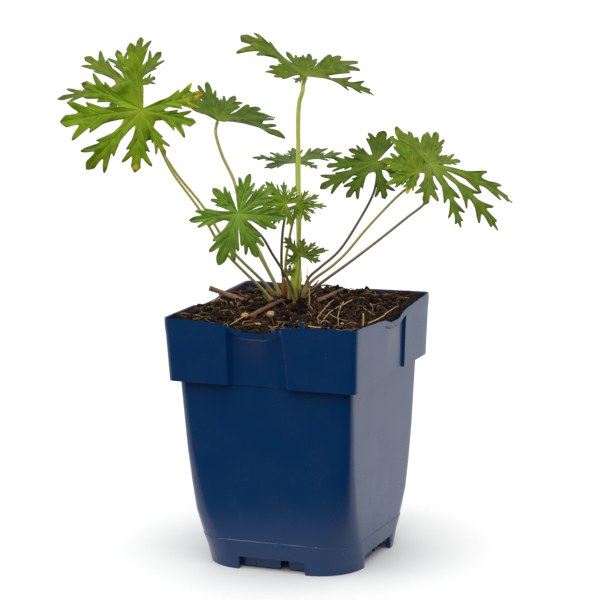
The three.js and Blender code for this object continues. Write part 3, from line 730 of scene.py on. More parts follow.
    @staticmethod
    def add_block(work: Patchwork, face: int, spans: tuple[tuple[float, float], ...],
                  outs: tuple[float, float], heights: tuple[float, float], depth: float) -> None:
        """One tapered block on a face: a pad below the base plate, or the nib on the rim.

        Args:
            work: where it is added.
            face: which face, counted anticlockwise from the front.
            spans: its left and right edges at its foot and at its top.
            outs: how far from the pot's axis its outer side stands, at its foot and at its top.
            heights: of its foot and its top.
            depth: how far it reaches in.
        """
        corners = np.array([
            [x, -out + inwards, z]
            for (left, right), out, z in zip(spans, outs, heights)
            for x, inwards in ((left, 0.0), (right, 0.0), (right, depth), (left, depth))])
        sides = np.array([[0, 3, 2, 1], [4, 5, 6, 7], [0, 1, 5, 4],
                          [1, 2, 6, 5], [2, 3, 7, 6], [3, 0, 4, 7]])
        low = 1.0 - heights[0] / 135.0
        work.add(turned(corners, 90.0 * face), sides, low=low, scuff=0.0, grime=0.0)

    def add_scuffs(self, origin: np.ndarray, plastic: bpy.types.Material) -> None:
        """Thin pale scratches low on the front."""
        work = Patchwork()
        steps = 12
        for start, end, radius in self.scratches:
            along = np.linspace(start, end, steps)
            z = np.full_like(along, self.band_top) + 0.25 * lumps(along[:, None] * [1, 0, 0], 6.0)
            half = np.array([self.body_at(height)[0] for height in z])
            path = np.stack([along, -half - self.scratch_height, z], axis=-1)
            taper = radius * np.sin(np.linspace(0.2, np.pi - 0.2, steps)) ** 0.5
            work.add_tube(path, taper, 5, scuff=1.0, low=1.0, grime=0.0)
        work.dress("pale_scratches", origin, plastic, "pot_plastic")


# ---------------------------------------------------------------- the compost
@dataclass
class PottingCompost:
    """The compost that fills the pot, mounded round the crown and sunk in one corner."""

    pot: NurseryPot
    edge: float = 133.2
    mound: float = 7.2
    mound_reach: float = 21.0
    hollow: float = 8.0
    hollow_reach: float = 13.0
    bank: float = 4.4
    bank_back_from: float = 6.0
    bank_left_from: float = 14.0
    bank_reach: float = 33.0
    rows: int = 84
    seed: int = 7

    def height(self, place: np.ndarray) -> np.ndarray:
        """The surface: a bell at the crown, a bank at the back and left, a sunk corner, lumps.

        The bank is its height times 1 - (1 - back)(1 - left), where back and left rise by S
        curves.

        Args:
            place: places in the pot's frame, (..., 2) or (..., 3).

        Returns:
            The height at each.
        """
        x, y = place[..., 0], place[..., 1]
        centre = planted(np.array(CROWN))
        bell = np.exp(-((np.hypot(x - centre[0], y - centre[1]) / self.mound_reach) ** 2))
        half = self.pot.body_at(self.pot.height)[0]
        sunk = np.exp(-((np.hypot(x + half, y - half) / self.hollow_reach) ** 2))
        waves = np.sin(0.31 * x + 1.7 * np.sin(0.17 * y)) * np.cos(0.27 * y - 0.4)
        waves = waves + 0.6 * np.sin(0.63 * x - 0.5 * y)
        back = smooth((y - self.bank_back_from) / self.bank_reach)
        left = smooth((-x - self.bank_left_from) / self.bank_reach)
        banked = self.bank * (1 - (1 - back) * (1 - left))
        flat = np.stack([x, y, np.zeros_like(x)], axis=-1)
        rough = 1.2 * lumps(flat, 4.2, 3.0) + 0.75 * lumps(flat, 1.9, 5.0)
        return self.edge + self.mound * bell + banked - self.hollow * sunk + 0.6 * waves + rough

    def outline(self) -> np.ndarray:
        """The pot's inner outline at the surface, with more places along it."""
        ring = self.pot.ring(128.0, inset=self.pot.wall + 0.12, collar=True)
        closed = np.vstack([ring, ring[:1]])
        lengths = np.concatenate([[0], np.cumsum(np.linalg.norm(np.diff(closed, axis=0), axis=1))])
        even = np.sort(np.concatenate([lengths[:-1], np.linspace(0, lengths[-1], 200)[1:-1]]))
        return np.stack([np.interp(even, lengths, closed[:, axis]) for axis in range(3)], axis=-1)

    def build(self, origin: np.ndarray) -> None:
        """A closed body: outline times share for the top, and a short skirt down to a floor."""
        outline = self.outline()
        top = outline[None] * np.linspace(1.0, 0.012, self.rows)[:, None, None]
        top[..., 2] = self.height(top) + 0.35 * lumps(top, 0.9, 9.0)
        top[0, :, 2] -= 0.8
        floor = self.pot.inner_floor + 0.4
        skirt = outline.copy()
        skirt[:, 2] = floor
        work = Patchwork()
        work.add_stack(np.concatenate([skirt[None], top]), np.array([0, 0, floor]),
                       np.array([0, 0, float(self.height(np.zeros(2)))]))
        work.dress("potting_compost", origin, Compost().make(), "compost", "potting_soil")

    def scatter(self, count: int, seed: int, margin: float = 1.5) -> np.ndarray:
        """Random places on the surface, in the pot's frame, inside its wall."""
        draw = np.random.default_rng(self.seed + seed)
        reach = self.pot.body_at(self.pot.height)[0] - self.pot.wall - margin
        flat = draw.uniform(-reach, reach, (count, 2))
        return np.column_stack([flat, self.height(flat)])


# ---------------------------------------------------------------- loose bits
def icosahedron(subdivided: bool) -> tuple[np.ndarray, np.ndarray]:
    """A ball of 20 flat faces, or of 80: its unit points and its three-cornered faces."""
    work = bmesh.new()
    bmesh.ops.create_icosphere(work, subdivisions=2 if subdivided else 1, radius=1.0)
    points = np.array([vertex.co[:] for vertex in work.verts])
    faces = np.array([[vertex.index for vertex in face.verts] for face in work.faces])
    work.free()
    return points, faces


@dataclass
class Crumbs:
    """Many small broken lumps on a surface, each turned, stretched and tinted by a seeded draw."""

    name: str
    finish: Litter
    places: np.ndarray
    sizes: tuple[float, float]
    stretch: tuple[float, float, float] = (1.0, 0.8, 0.6)
    seed: int = 1
    fine: bool = False

    def build(self, origin: np.ndarray) -> None:
        """Each lump: unit ball points, pushed by noise, times size, turned, on its place."""
        draw = np.random.default_rng(self.seed)
        ball, faces = icosahedron(self.fine)
        count = len(self.places)
        low, high = self.sizes
        size = low + (high - low) * draw.random(count) ** 2.2
        broken = 1 + 0.34 * lattice(
            np.round(ball[None] * 9) + np.arange(count)[:, None, None] * 3, self.seed)[..., None]
        axes = np.array(self.stretch) * draw.uniform(0.75, 1.3, (count, 3))
        shaped = ball[None] * broken * (axes * size[:, None])[:, None]
        first = unit(draw.normal(size=(count, 3)) * [1, 1, 0.35])
        second = unit(np.cross(first, draw.normal(size=(count, 3))))
        basis = np.stack([first, second, np.cross(first, second)], axis=1)
        points = np.einsum("nij,njk->nik", shaped, basis)
        points += self.places[:, None] + (0.22 * size)[:, None, None] * [0, 0, 1]
        corners = faces[None] + (np.arange(count) * len(ball))[:, None, None]
        work = Patchwork()
        tint = np.repeat(draw.random(count)[:, None], len(ball), axis=1)
        work.add(points, corners.reshape(-1, 3), tint=tint)
        work.dress(self.name, origin, self.finish.make(), "compost")


@dataclass
class Fibres:
    """Many short curved strands that lie on the compost."""

    name: str
    finish: Litter
    places: np.ndarray
    lengths: tuple[float, float]
    radii: tuple[float, float]
    compost: PottingCompost
    seed: int = 1
    steps: int = 7
    sides: int = 5
    rise: float = 0.35

    def build(self, origin: np.ndarray) -> None:
        """Each strand: a gentle S along its heading, as a thin tube over the compost.

        Its height is the parabola through the ground at its two ends and its middle.
        """
        draw = np.random.default_rng(self.seed)
        count = len(self.places)
        heading = draw.uniform(0, 2 * np.pi, count)[:, None]
        length = draw.uniform(*self.lengths, count)[:, None]
        s = np.linspace(-0.5, 0.5, self.steps)[None, :]
        sway = draw.normal(0, 0.16, (count, 1)) * np.cos(s * np.pi) * length
        sway = sway + draw.normal(0, 0.07, (count, 1)) * np.sin(s * 2 * np.pi) * length
        x = self.places[:, :1] + s * length * np.cos(heading) - sway * np.sin(heading)
        y = self.places[:, 1:2] + s * length * np.sin(heading) + sway * np.cos(heading)
        reach = self.compost.pot.body_at(131.0)[0] - self.compost.pot.wall - 0.8
        x, y = np.clip(x, -reach, reach), np.clip(y, -reach, reach)
        arch = draw.uniform(-0.2, 1.6, (count, 1)) * np.cos(s * np.pi)
        tip = draw.uniform(-0.6, 1.0, (count, 1)) * s * 2
        ground = self.compost.height(np.stack([x, y], axis=-1))
        low, middle, high = ground[:, :1], ground[:, self.steps // 2, None], ground[:, -1:]
        bowed = middle + (high - low) * s + 2 * (low + high - 2 * middle) * s**2
        z = bowed + self.rise + arch + tip
        path = np.stack([x, y, z], axis=-1)
        tangent = unit(np.gradient(path, axis=1))
        side = unit(np.cross(tangent, [0.0, 0.0, 1.0]))
        up = np.cross(side, tangent)
        angle = np.linspace(0, 2 * np.pi, self.sides, endpoint=False)
        ring = (np.cos(angle)[None, None, :, None] * side[:, :, None]
                + np.sin(angle)[None, None, :, None] * up[:, :, None])
        radius = draw.uniform(*self.radii, (count, 1)) * (1 - 0.75 * np.abs(2 * s) ** 3)
        surface = path[:, :, None] + radius[:, :, None, None] * ring
        per = self.steps * self.sides
        corners = grid_faces(self.steps, self.sides, closed=True)
        flat_ends = np.array([np.arange(self.sides)[::-1], np.arange(per - self.sides, per)])
        shift = (np.arange(count) * per)[:, None, None]
        tint = np.broadcast_to(draw.random(count)[:, None, None], surface.shape[:-1])
        work = Patchwork()
        work.add(surface, (corners[None] + shift).reshape(-1, 4),
                 (flat_ends[None] + shift).reshape(-1, self.sides), tint=tint)
        work.dress(self.name, origin, self.finish.make(), "compost")


# ---------------------------------------------------------------- leaves
@dataclass(frozen=True)
class Margin:
    """Half a lobe's outline from the sinus to the apex, in shares of the lobe's length.

    Each point has its place along and across, and the foot on the midrib of the vein that runs
    out to it. The points named in veins end a side vein.
    """

    points: tuple[tuple[float, float, float], ...]
    veins: tuple[int, ...]

    def rounded(self) -> np.ndarray:
        """The outline with its corners cut twice: each corner becomes points at 1/4 and 3/4."""
        outline = np.array([*self.points, (1.0, 0.0, 1.0)])
        for _ in range(2):
            near = 0.75 * outline[:-1] + 0.25 * outline[1:]
            far = 0.25 * outline[:-1] + 0.75 * outline[1:]
            cut = np.stack([near, far], axis=1).reshape(-1, 3)
            outline = np.vstack([outline[:1], cut[1:-1], outline[-1:]])
        return outline


DEEP_CUT = Margin((
    (0.30, 0.075, 0.10), (0.45, 0.085, 0.18), (0.56, 0.125, 0.24), (0.64, 0.185, 0.28),
    (0.665, 0.175, 0.31), (0.635, 0.12, 0.35), (0.70, 0.135, 0.40), (0.80, 0.215, 0.45),
    (0.87, 0.25, 0.48), (0.885, 0.225, 0.50), (0.83, 0.14, 0.54), (0.75, 0.07, 0.57),
    (0.85, 0.07, 0.66), (0.92, 0.082, 0.73), (0.945, 0.062, 0.78), (0.985, 0.025, 0.90)),
    (3, 8, 13))
BLUNT_CUT = Margin((
    (0.30, 0.13, 0.10), (0.44, 0.18, 0.18), (0.54, 0.235, 0.23), (0.62, 0.27, 0.27),
    (0.655, 0.245, 0.30), (0.61, 0.19, 0.33), (0.70, 0.225, 0.38), (0.79, 0.265, 0.42),
    (0.845, 0.255, 0.45), (0.84, 0.205, 0.48), (0.76, 0.14, 0.52), (0.70, 0.10, 0.55),
    (0.79, 0.10, 0.64), (0.88, 0.10, 0.74), (0.95, 0.065, 0.85), (0.99, 0.03, 0.95)), (3, 8, 13))
LONG_CUT = Margin((
    (0.25, 0.045, 0.08), (0.42, 0.05, 0.17), (0.52, 0.085, 0.24), (0.605, 0.15, 0.29),
    (0.62, 0.135, 0.31), (0.57, 0.08, 0.35), (0.56, 0.045, 0.40), (0.66, 0.05, 0.48),
    (0.765, 0.12, 0.54), (0.81, 0.145, 0.57), (0.81, 0.12, 0.59), (0.76, 0.06, 0.63),
    (0.775, 0.038, 0.67), (0.87, 0.055, 0.76), (0.92, 0.07, 0.81), (0.925, 0.05, 0.84),
    (0.91, 0.024, 0.87), (1.0, 0.01, 0.97)), (3, 9, 14))
FINE_CUT = Margin((
    (0.30, 0.11, 0.10), (0.45, 0.15, 0.18), (0.62, 0.25, 0.28), (0.68, 0.27, 0.31),
    (0.68, 0.23, 0.34), (0.58, 0.14, 0.40), (0.52, 0.095, 0.45), (0.66, 0.12, 0.55),
    (0.82, 0.19, 0.64), (0.88, 0.19, 0.68), (0.87, 0.14, 0.72), (0.80, 0.085, 0.77),
    (0.92, 0.06, 0.87), (1.0, 0.025, 0.97)), (3, 9))


@dataclass(frozen=True)
class Lobe:
    """One lobe: its direction in the blade, length, tilt and curl, its state and its breadth."""

    direction: float
    length: float
    tilt: float
    curl: float
    dry: float = 0.0
    yellow: float = 0.0
    broad: float = 1.0
    margin: Margin | None = None


@dataclass
class GeraniumLeaf:
    """A palmate blade on its stalk, in the plant's frame.

    Each of the webs is where the cut from one lobe to the next ends, as a share of the shorter
    of the two; they are used in turn. The bulge is where the stalk swells, as a share of its
    length, or 0.
    """

    name: str
    hub: tuple[float, float, float]
    faces: float
    leans: float
    margin: Margin
    tone: LeafTone
    stalk_tone: StalkTone
    route: tuple[tuple[float, float, float], ...]
    lobes: tuple[Lobe, ...]
    seed: int
    stalk_radius: float = 0.78
    webs: tuple[float, ...] = (0.24,)
    bulge: float = 0.0
    petiole_sinus: float = 0.04
    fold: float = 0.1
    thickness: float = 0.36
    waves: float = 0.035
    across_steps: tuple[float, ...] = (0.0, 0.07, 0.2, 0.4, 0.62, 0.83, 1.0)

    def axes(self) -> tuple[np.ndarray, np.ndarray, np.ndarray]:
        """The blade's normal, its rightward direction and the third axis."""
        up, lean = math.radians(self.faces), math.radians(self.leans)
        normal = np.array([math.sin(lean), -math.cos(lean) * math.cos(up),
                           math.cos(lean) * math.sin(up)])
        right = unit(np.array([1.0, 0.0, 0.0]) - normal[0] * normal)
        return normal, right, np.cross(normal, right)

    def pose(self, direction: np.ndarray) -> tuple[np.ndarray, np.ndarray]:
        """Tilt and bend at each direction, blended from lobe to lobe by an S curve."""
        starts = np.array([lobe.direction for lobe in self.lobes])
        tilts = np.array([lobe.tilt for lobe in self.lobes])
        bends = np.array([lobe.curl / lobe.length for lobe in self.lobes])
        turn = starts[0] + (direction - starts[0]) % 360
        low = np.searchsorted(starts, turn, side="right") - 1
        high = (low + 1) % len(starts)
        span = (starts[high] - starts[low]) % 360
        share = smooth((turn - starts[low]) / span)
        tilt = tilts[low] + (tilts[high] - tilts[low]) * share
        bend = bends[low] + (bends[high] - bends[low]) * share
        return np.radians(tilt), np.radians(bend)

    def bent(self, flat: np.ndarray, lift: np.ndarray, rise: float) -> np.ndarray:
        """Flat blade points bent into place.

        A point at distance r lies on an arc out from the hub that starts at the tilt and turns
        by the bend for each millimetre: out = (sin(tilt + bend r) - sin tilt) / bend, and
        high = (cos tilt - cos(tilt + bend r)) / bend.

        Args:
            flat: places in the flat blade, (..., 2).
            lift: height above the bent surface.
            rise: offset along the arc's normal, for the blade's two faces.

        Returns:
            The places in the plant's frame.
        """
        normal, right, third = self.axes()
        reach = np.hypot(flat[..., 0], flat[..., 1])
        direction = np.arctan2(flat[..., 1], flat[..., 0])
        tilt, bend = self.pose(np.degrees(direction))
        bend = np.where(np.abs(bend) < 1e-6, 1e-6, bend)
        end = tilt + bend * reach
        out = (np.sin(end) - np.sin(tilt)) / bend - rise * np.sin(end)
        high = (np.cos(tilt) - np.cos(end)) / bend + lift + rise * np.cos(end)
        return (np.array(self.hub)
                + (out * np.cos(direction))[..., None] * right
                + (out * np.sin(direction))[..., None] * third
                + high[..., None] * normal)

    def half_lobe(self, index: int, side: int) -> dict[str, np.ndarray]:
        """One half of a lobe as a grid: vein feet on the midrib, out to the margin.

        A point is foot + v (margin - foot), for v from 0 at the midrib to 1 at the margin.

        Args:
            index: which lobe.
            side: 1 for its anticlockwise half, -1 for the other.

        Returns:
            "flat" places, the "lift" of its folds, waves and quilting, and its colour values.
        """
        lobe = self.lobes[index]
        count = len(self.lobes)
        other = (index + side) % count
        first = index if side == 1 else other
        gap = ((self.lobes[other].direction - lobe.direction) * side) % 360
        half_angle = math.radians(gap) / 2
        depth = self.webs[first % len(self.webs)]
        if first == count - 1:
            depth = self.petiole_sinus
        reach = depth * min(lobe.length, self.lobes[other].length) / lobe.length
        margin = lobe.margin or self.margin
        outline = margin.rounded()
        widest = np.arctan2(outline[:, 1], outline[:, 0]).max()
        room = math.tan(half_angle * 0.98) / math.tan(widest) if half_angle < 1.5 else 2.0
        varied = 1 + 0.24 * float(lattice(np.array([self.seed, index, side]), 2.0))
        broad = min(room, varied * lobe.broad)
        outline = outline * np.array([1.0, broad, 1.0])
        ripple = np.stack([outline[:, 0] * 9 + self.seed, np.full(len(outline), index * 3.3 + side),
                           outline[:, 2] * 3], axis=-1)
        ragged = 0.012 * lumps(ripple, 1.0, self.seed) + 0.05 * lumps(ripple, 3.2, self.seed + 1)
        ends = np.sin(np.pi * np.clip(outline[:, 2], 0, 1))
        uneven = 1 + 0.2 * lumps(ripple, 2.3, self.seed + 2) * ends
        outline[:, 0] += ragged * ends
        outline[:, 1] *= uneven
        start = np.array([reach * math.cos(half_angle), reach * math.sin(half_angle), 0.0])
        outline = np.vstack([start, outline[outline[:, 0] > start[0] + 0.02]])
        feet, along, across = outline[:, 2], outline[:, 0], outline[:, 1]
        v = np.array(self.across_steps)[None, :]
        flat_along = (feet[:, None] + v * (along - feet)[:, None]) * lobe.length
        flat_across = v * across[:, None] * lobe.length
        place = np.stack([flat_along, flat_across], axis=-1)
        nearest, towards = flat_across.copy(), np.zeros_like(flat_across)
        for vein in margin.veins:
            tip = np.array(margin.points[vein]) * [1.0, broad, 1.0] * lobe.length
            from_foot = place - np.array([tip[2], 0.0])
            ray = np.array([tip[0] - tip[2], tip[1]])
            share = np.clip(from_foot @ ray / (ray @ ray), 0, 1)
            away = np.linalg.norm(from_foot - share[..., None] * ray, axis=-1)
            towards = np.where(away < nearest, share, towards)
            nearest = np.minimum(nearest, away)
        out = np.hypot(flat_along, flat_across) / lobe.length
        width = (0.55 - 0.33 * np.clip(out, 0, 1)) * (1 - 0.45 * towards)
        envelope = smooth(out / 0.3)
        quilt = 0.007 * lobe.length * (1 - np.exp(-((nearest / (0.045 * lobe.length)) ** 2)))
        swell = np.sin(out * 7.0 + index * 2.1 + side + self.seed)
        wave = self.waves * lobe.length * v**2 * swell * envelope * np.minimum(across / 0.1, 1)[:, None]
        lift = self.fold * flat_across + quilt * envelope * (1 - v**4) + wave
        angle = math.radians(lobe.direction)
        x = place[..., 0] * math.cos(angle) - side * place[..., 1] * math.sin(angle)
        y = place[..., 0] * math.sin(angle) + side * place[..., 1] * math.cos(angle)
        tipness = smooth((out - 0.8) / 0.2)
        return {"flat": np.stack([x, y], axis=-1), "lift": lift, "to_vein": nearest / width,
                "reach": np.clip(out, 0, 1), "dry": lobe.dry * tipness + 0.12 * tipness,
                "yellow": lobe.yellow * smooth((out - 0.5) / 0.45)}

    def build_blade(self, origin: np.ndarray) -> None:
        """One closed thin shell: two faces of every half lobe and the wall along its margin."""
        work = Patchwork()
        thick = self.thickness / 2
        for index in range(len(self.lobes)):
            for side in (1, -1):
                shade = self.half_lobe(index, side)
                flat, lift = shade.pop("flat"), shade.pop("lift")
                faces = grid_faces(*lift.shape)
                top, bottom = self.bent(flat, lift, thick), self.bent(flat, lift, -thick)
                work.add(planted(top), faces, under=0.0, **shade)
                work.add(planted(bottom), faces[:, ::-1], under=1.0, **shade)
                edge = np.stack([top[:, -1], bottom[:, -1]], axis=1)
                margin = {name: np.repeat(value[:, -1:], 2, axis=1) for name, value in shade.items()}
                work.add(planted(edge), grid_faces(len(lift), 2), under=0.5, **margin)
        work.dress(f"leaf_{self.name}", origin, finish(self.tone), "leaf", f"blade_{self.name}",
                   weld=0.02)

    def stalk_path(self) -> np.ndarray:
        """The stalk's centreline, from inside the crown to the middle of the blade."""
        normal = self.axes()[0]
        hub = np.array(self.hub)
        foot = np.array(self.route[0])
        root = foot + (np.array(CROWN) - foot) * 0.1
        root[2] = foot[2] - 6.0
        return catmull_rom(np.vstack([root, self.route, hub - 5 * normal, hub - 0.1 * normal]), 9)

    def build_stalk(self, origin: np.ndarray) -> None:
        """The stalk as a round tube, thicker at its foot and swollen where the blade joins."""
        path = self.stalk_path()
        share = np.linspace(0, 1, len(path))
        foot = 0.5 * np.exp(-share / 0.1)
        knuckle = 0.22 * np.exp(-(((share - 0.985) / 0.03) ** 2))
        swollen = 0.5 * np.exp(-(((share - self.bulge) / 0.035) ** 2)) if self.bulge else 0.0
        radii = self.stalk_radius * (1.04 - 0.2 * share + foot + knuckle + swollen)
        radii[-3:] *= np.array([0.95, 0.8, 0.45])
        node = "main_stem" if self.name == "g" else f"stalk_{self.name}"
        work = Patchwork()
        work.add_tube(planted(path), radii, 14)
        work.dress(f"petiole_{self.name}", origin, finish(self.stalk_tone),
                   STALK_SLOTS[self.name], node)


def lobes(*rows: tuple[float, ...]) -> tuple[Lobe, ...]:
    """Lobes from rows of direction, length, tilt, curl and, where it matters, dry, yellow, broad."""
    return tuple(Lobe(*row) for row in rows)


LEAVES: tuple[GeraniumLeaf, ...] = (
    GeraniumLeaf(
        "a", (-80, -38, 251), 14, -3, DEEP_CUT, LeafTone.MID, StalkTone.STRAW,
        ((-16.2, 6, 141), (-40, -9, 171), (-52, -20, 195), (-66, -31, 218), (-73, -36, 235)),
        lobes((99, 36, 5, -10, 0.5), (155, 35, 5, -10, 0.7), (186, 45, 8, -30, 0.3),
              (225, 43, 5, -20, 0.2), (262, 33, 0, -5, 0.3, 0.35), (296, 27, 0, -5, 0.3, 0.3, 0.8),
              (346, 29, 5, -20, 0.1),
              (374, 33, 5, -15, 0.6, 0.55)), 3, webs=(0.5, 0.35, 0.25, 0.27, 0.6, 0.34, 0.41)),
    GeraniumLeaf(
        "b", (-87, -8, 259), 45, -5, DEEP_CUT, LeafTone.OLIVE, StalkTone.BRONZE,
        ((-14.6, 15, 142.4), (-36.4, 9, 168), (-51, 3, 193), (-66, -2, 214), (-80, -8, 241)),
        lobes((18, 14, 10, 0, 0.3), (50, 26, 10, 0, 0.9), (80, 31, 10, 0, 0.4),
              (107, 28, 5, -10, 0.9), (137, 36, 5, -15), (188, 40, 8, -10, 0.3, 0.0, 0.4),
              (228, 24, 0, -10, 0.0, 0.0, 0.6)), 11),
    GeraniumLeaf(
        "c", (-42, 5, 239), 82, 14, BLUNT_CUT, LeafTone.GREYED, StalkTone.OLIVE,
        ((-10, 11, 141), (-20, 10, 163), (-29, 8, 183), (-34, 7, 206), (-40, 6, 220),
         (-43, 5, 231)),
        lobes((-42, 26, 20, -10), (-5, 38, 14, -30), (35, 38, 14, -20),
              (75, 29, 22, -10, 0.0, 0.0, 1.3), (112, 28, 29, 0, 0.2, 0.0, 1.3),
              (165, 27, 20, -5, 0.0, 0.0, 1.25), (215, 22, 22, -5)), 23,
        stalk_radius=0.95, webs=(0.4, 0.26, 0.46, 0.56, 0.56, 0.5), bulge=0.27),
    GeraniumLeaf(
        "d", (-31, -42, 196), 12, 0, BLUNT_CUT, LeafTone.COOL, StalkTone.UMBER,
        ((-2.5, 1, 143), (-3.9, -3, 149), (-9, -12, 160.7), (-14, -21, 171), (-19, -29, 181.4)),
        lobes((134, 19, 5, -10), (187, 26, 5, -15, 0.0, 0.0, 0.85), (248, 29, 5, -15, 0.0, 0.0, 0.9),
              (293, 25, 5, -15), (355, 25, 5, -15, 0.0, 0.0, 0.85), (396, 24, 5, -10),
              (432, 22, 5, -10, 0.0, 0.0, 0.9)), 31),
    GeraniumLeaf(
        "e", (-6, -18, 197), 30, 0, FINE_CUT, LeafTone.FRESH, StalkTone.GREEN,
        ((-7, 12, 143), (-9, 3, 159), (-8, -10, 181), (-6.5, -14, 190)),
        lobes((25, 10, 5, -10), (60, 11, 15, -10), (95, 12, 15, -10), (132, 16, 15, -10),
              (180, 15, 10, -15), (238, 13, 0, -15), (283, 13, 0, -15)), 41, webs=(0.42,)),
    GeraniumLeaf(
        "f", (0, -9, 195), 30, 8, FINE_CUT, LeafTone.FRESH, StalkTone.STRAW,
        ((-5, 17, 143), (-7, 11, 157), (-5, 6, 172), (-2, -3, 187)),
        lobes((215, 8, 0, -10), (258, 9, 0, -15), (308, 12, 0, -10), (334, 11, 5, -10),
              (356, 16, 10, -10), (383, 13, 15, -10), (410, 10, 15, -10)), 53,
        webs=(0.42,)),
    GeraniumLeaf(
        "h", (0, 28, 212), 84, 0, FINE_CUT, LeafTone.SHADED, StalkTone.DUSKY,
        ((0, 18, 143), (0, 22, 170), (0, 26, 197), (0, 28, 206)),
        lobes((-35, 14, 5, -20), (13, 26, 12, -8), (42, 24, 12, -5), (95, 22, 8, 0),
              (134, 21, 10, -8), (165, 25, 8, -8), (200, 19, 5, -15)), 61,
        webs=(0.36,)),
    GeraniumLeaf(
        "i", (43, 6, 215), 38, -8, DEEP_CUT, LeafTone.GREYED, StalkTone.DUSKY,
        ((3, 15, 143), (5.7, 14, 150.5), (12, 13.5, 156.3), (22, 13, 165), (33, 11, 181.5),
         (42, 10, 199)),
        lobes((76, 19, 5, -5, 0.9, 0.0, 1.4, BLUNT_CUT), (150, 17, 10, -10, 0.0, 0.0, 1.1, BLUNT_CUT),
              (182, 27, 10, -15, 0.0, 0.0, 0.9), (205, 34, 10, -15, 0.0, 0.0, 0.8),
              (228, 26, 5, -20), (280, 22, 0, -20), (322, 20, 0, -20), (350, 20, 5, -10)), 71,
        webs=(0.3, 0.7, 0.5, 0.5, 0.3, 0.3, 0.3)),
    GeraniumLeaf(
        "j", (65, -6, 211), 50, 0, BLUNT_CUT, LeafTone.YELLOWED, StalkTone.YELLOW,
        ((3.2, 8.5, 143), (6.5, 8, 149), (18.3, 6, 158.3), (25.5, 5, 165), (37.5, 2, 179.6),
         (53, -2, 196.4)),
        lobes((-2, 16, 12, -10, 0.2, 0.4), (45, 19, 15, -5), (78, 24, 15, -5, 0.0, 0.0, 1.2),
              (112, 30, 15, -5, 0.6, 0.2, 1.3), (156, 21, 10, -15, 0.0, 0.15, 1.2),
              (203, 19, 5, -20, 0.1, 0.25), (243, 15, 0, -20, 0.2, 0.4)), 83, webs=(0.45,)),
    GeraniumLeaf(
        "k", (70, -24, 218), 52, 22, LONG_CUT, LeafTone.DUSKY, StalkTone.PLUM,
        ((4, 4, 143), (11.5, 1, 149.5), (28, -4, 162.3), (44, -9, 175.3), (59, -15, 188.3),
         (67.5, -18.5, 195.8), (70.2, -19.5, 202)),
        lobes((269, 25, 0, -35, 0.3, 0.35, 1.4, DEEP_CUT), (305, 39, 5, -40),
              (330, 52, 8, -40), (349, 51, 14, -35),
              (374, 18, 18, -15, 0.0, 0.0, 1.3, BLUNT_CUT),
              (440, 21, 20, -15, 0.0, 0.0, 0.9, BLUNT_CUT),
              (496, 24, 15, -25, 0.0, 0.0, 0.8, BLUNT_CUT)), 97,
        webs=(0.17, 0.17, 0.17, 0.2, 0.4, 0.3)),
    GeraniumLeaf(
        "l", (1, -10, 167), 65, 0, FINE_CUT, LeafTone.DEEP, StalkTone.LEAFY,
        ((-1, 4, 144), (0, -4, 154)),
        lobes((-22, 12, 5, -15), (4, 16, 15, -10), (42, 12, 20, -5), (77, 12, 20, -5),
              (124, 15, 20, -10), (182, 10, -25, -25), (232, 8, 0, -20)), 101,
        stalk_radius=0.6, webs=(0.42,)),
    GeraniumLeaf(
        "m", (-4.6, 3, 154.5), 25, -10, FINE_CUT, LeafTone.FRESH, StalkTone.GREEN,
        ((-5, 5, 143), (-4.8, 4.4, 147.5)),
        lobes((-25, 2.5, 10, -5), (45, 4.5, 10, -5), (88, 6, 10, -5), (125, 5, 10, -10),
              (205, 2.5, 10, -5)), 113, stalk_radius=0.6, webs=(0.5,)),
    GeraniumLeaf(
        "g", (6, 0, 263), 72, 18, DEEP_CUT, LeafTone.CANOPY, StalkTone.LEAFY,
        ((-1.8, 9, 141), (-0.6, 7.5, 157), (0.8, 6, 180), (1, 4, 213), (2, 1, 248), (4, 0, 255)),
        lobes((-4, 38, 15, -28, 0.3, 0.0, 1.3, LONG_CUT), (39, 36, 18, -15, 0.3, 0.0, 0.9, BLUNT_CUT),
              (88, 19, 20, -10, 0.0, 0.0, 1.3, BLUNT_CUT), (126, 21, 13, -10, 0.0, 0.0, 1.4, BLUNT_CUT),
              (157, 42, 15, -15, 0.6, 0.3, 1.2), (193, 23, 5, -20, 0.0, 0.0, 1.2, BLUNT_CUT),
              (240, 12, 0, -10)), 127,
        stalk_radius=1.3, webs=(0.35, 0.5, 0.8, 0.75, 0.7, 0.4)),
)
STALK_SLOTS = {"g": "stem_light", **dict.fromkeys("acdhik", "stalk_dusky"),
               **dict.fromkeys("befjlm", "stalk_olive")}


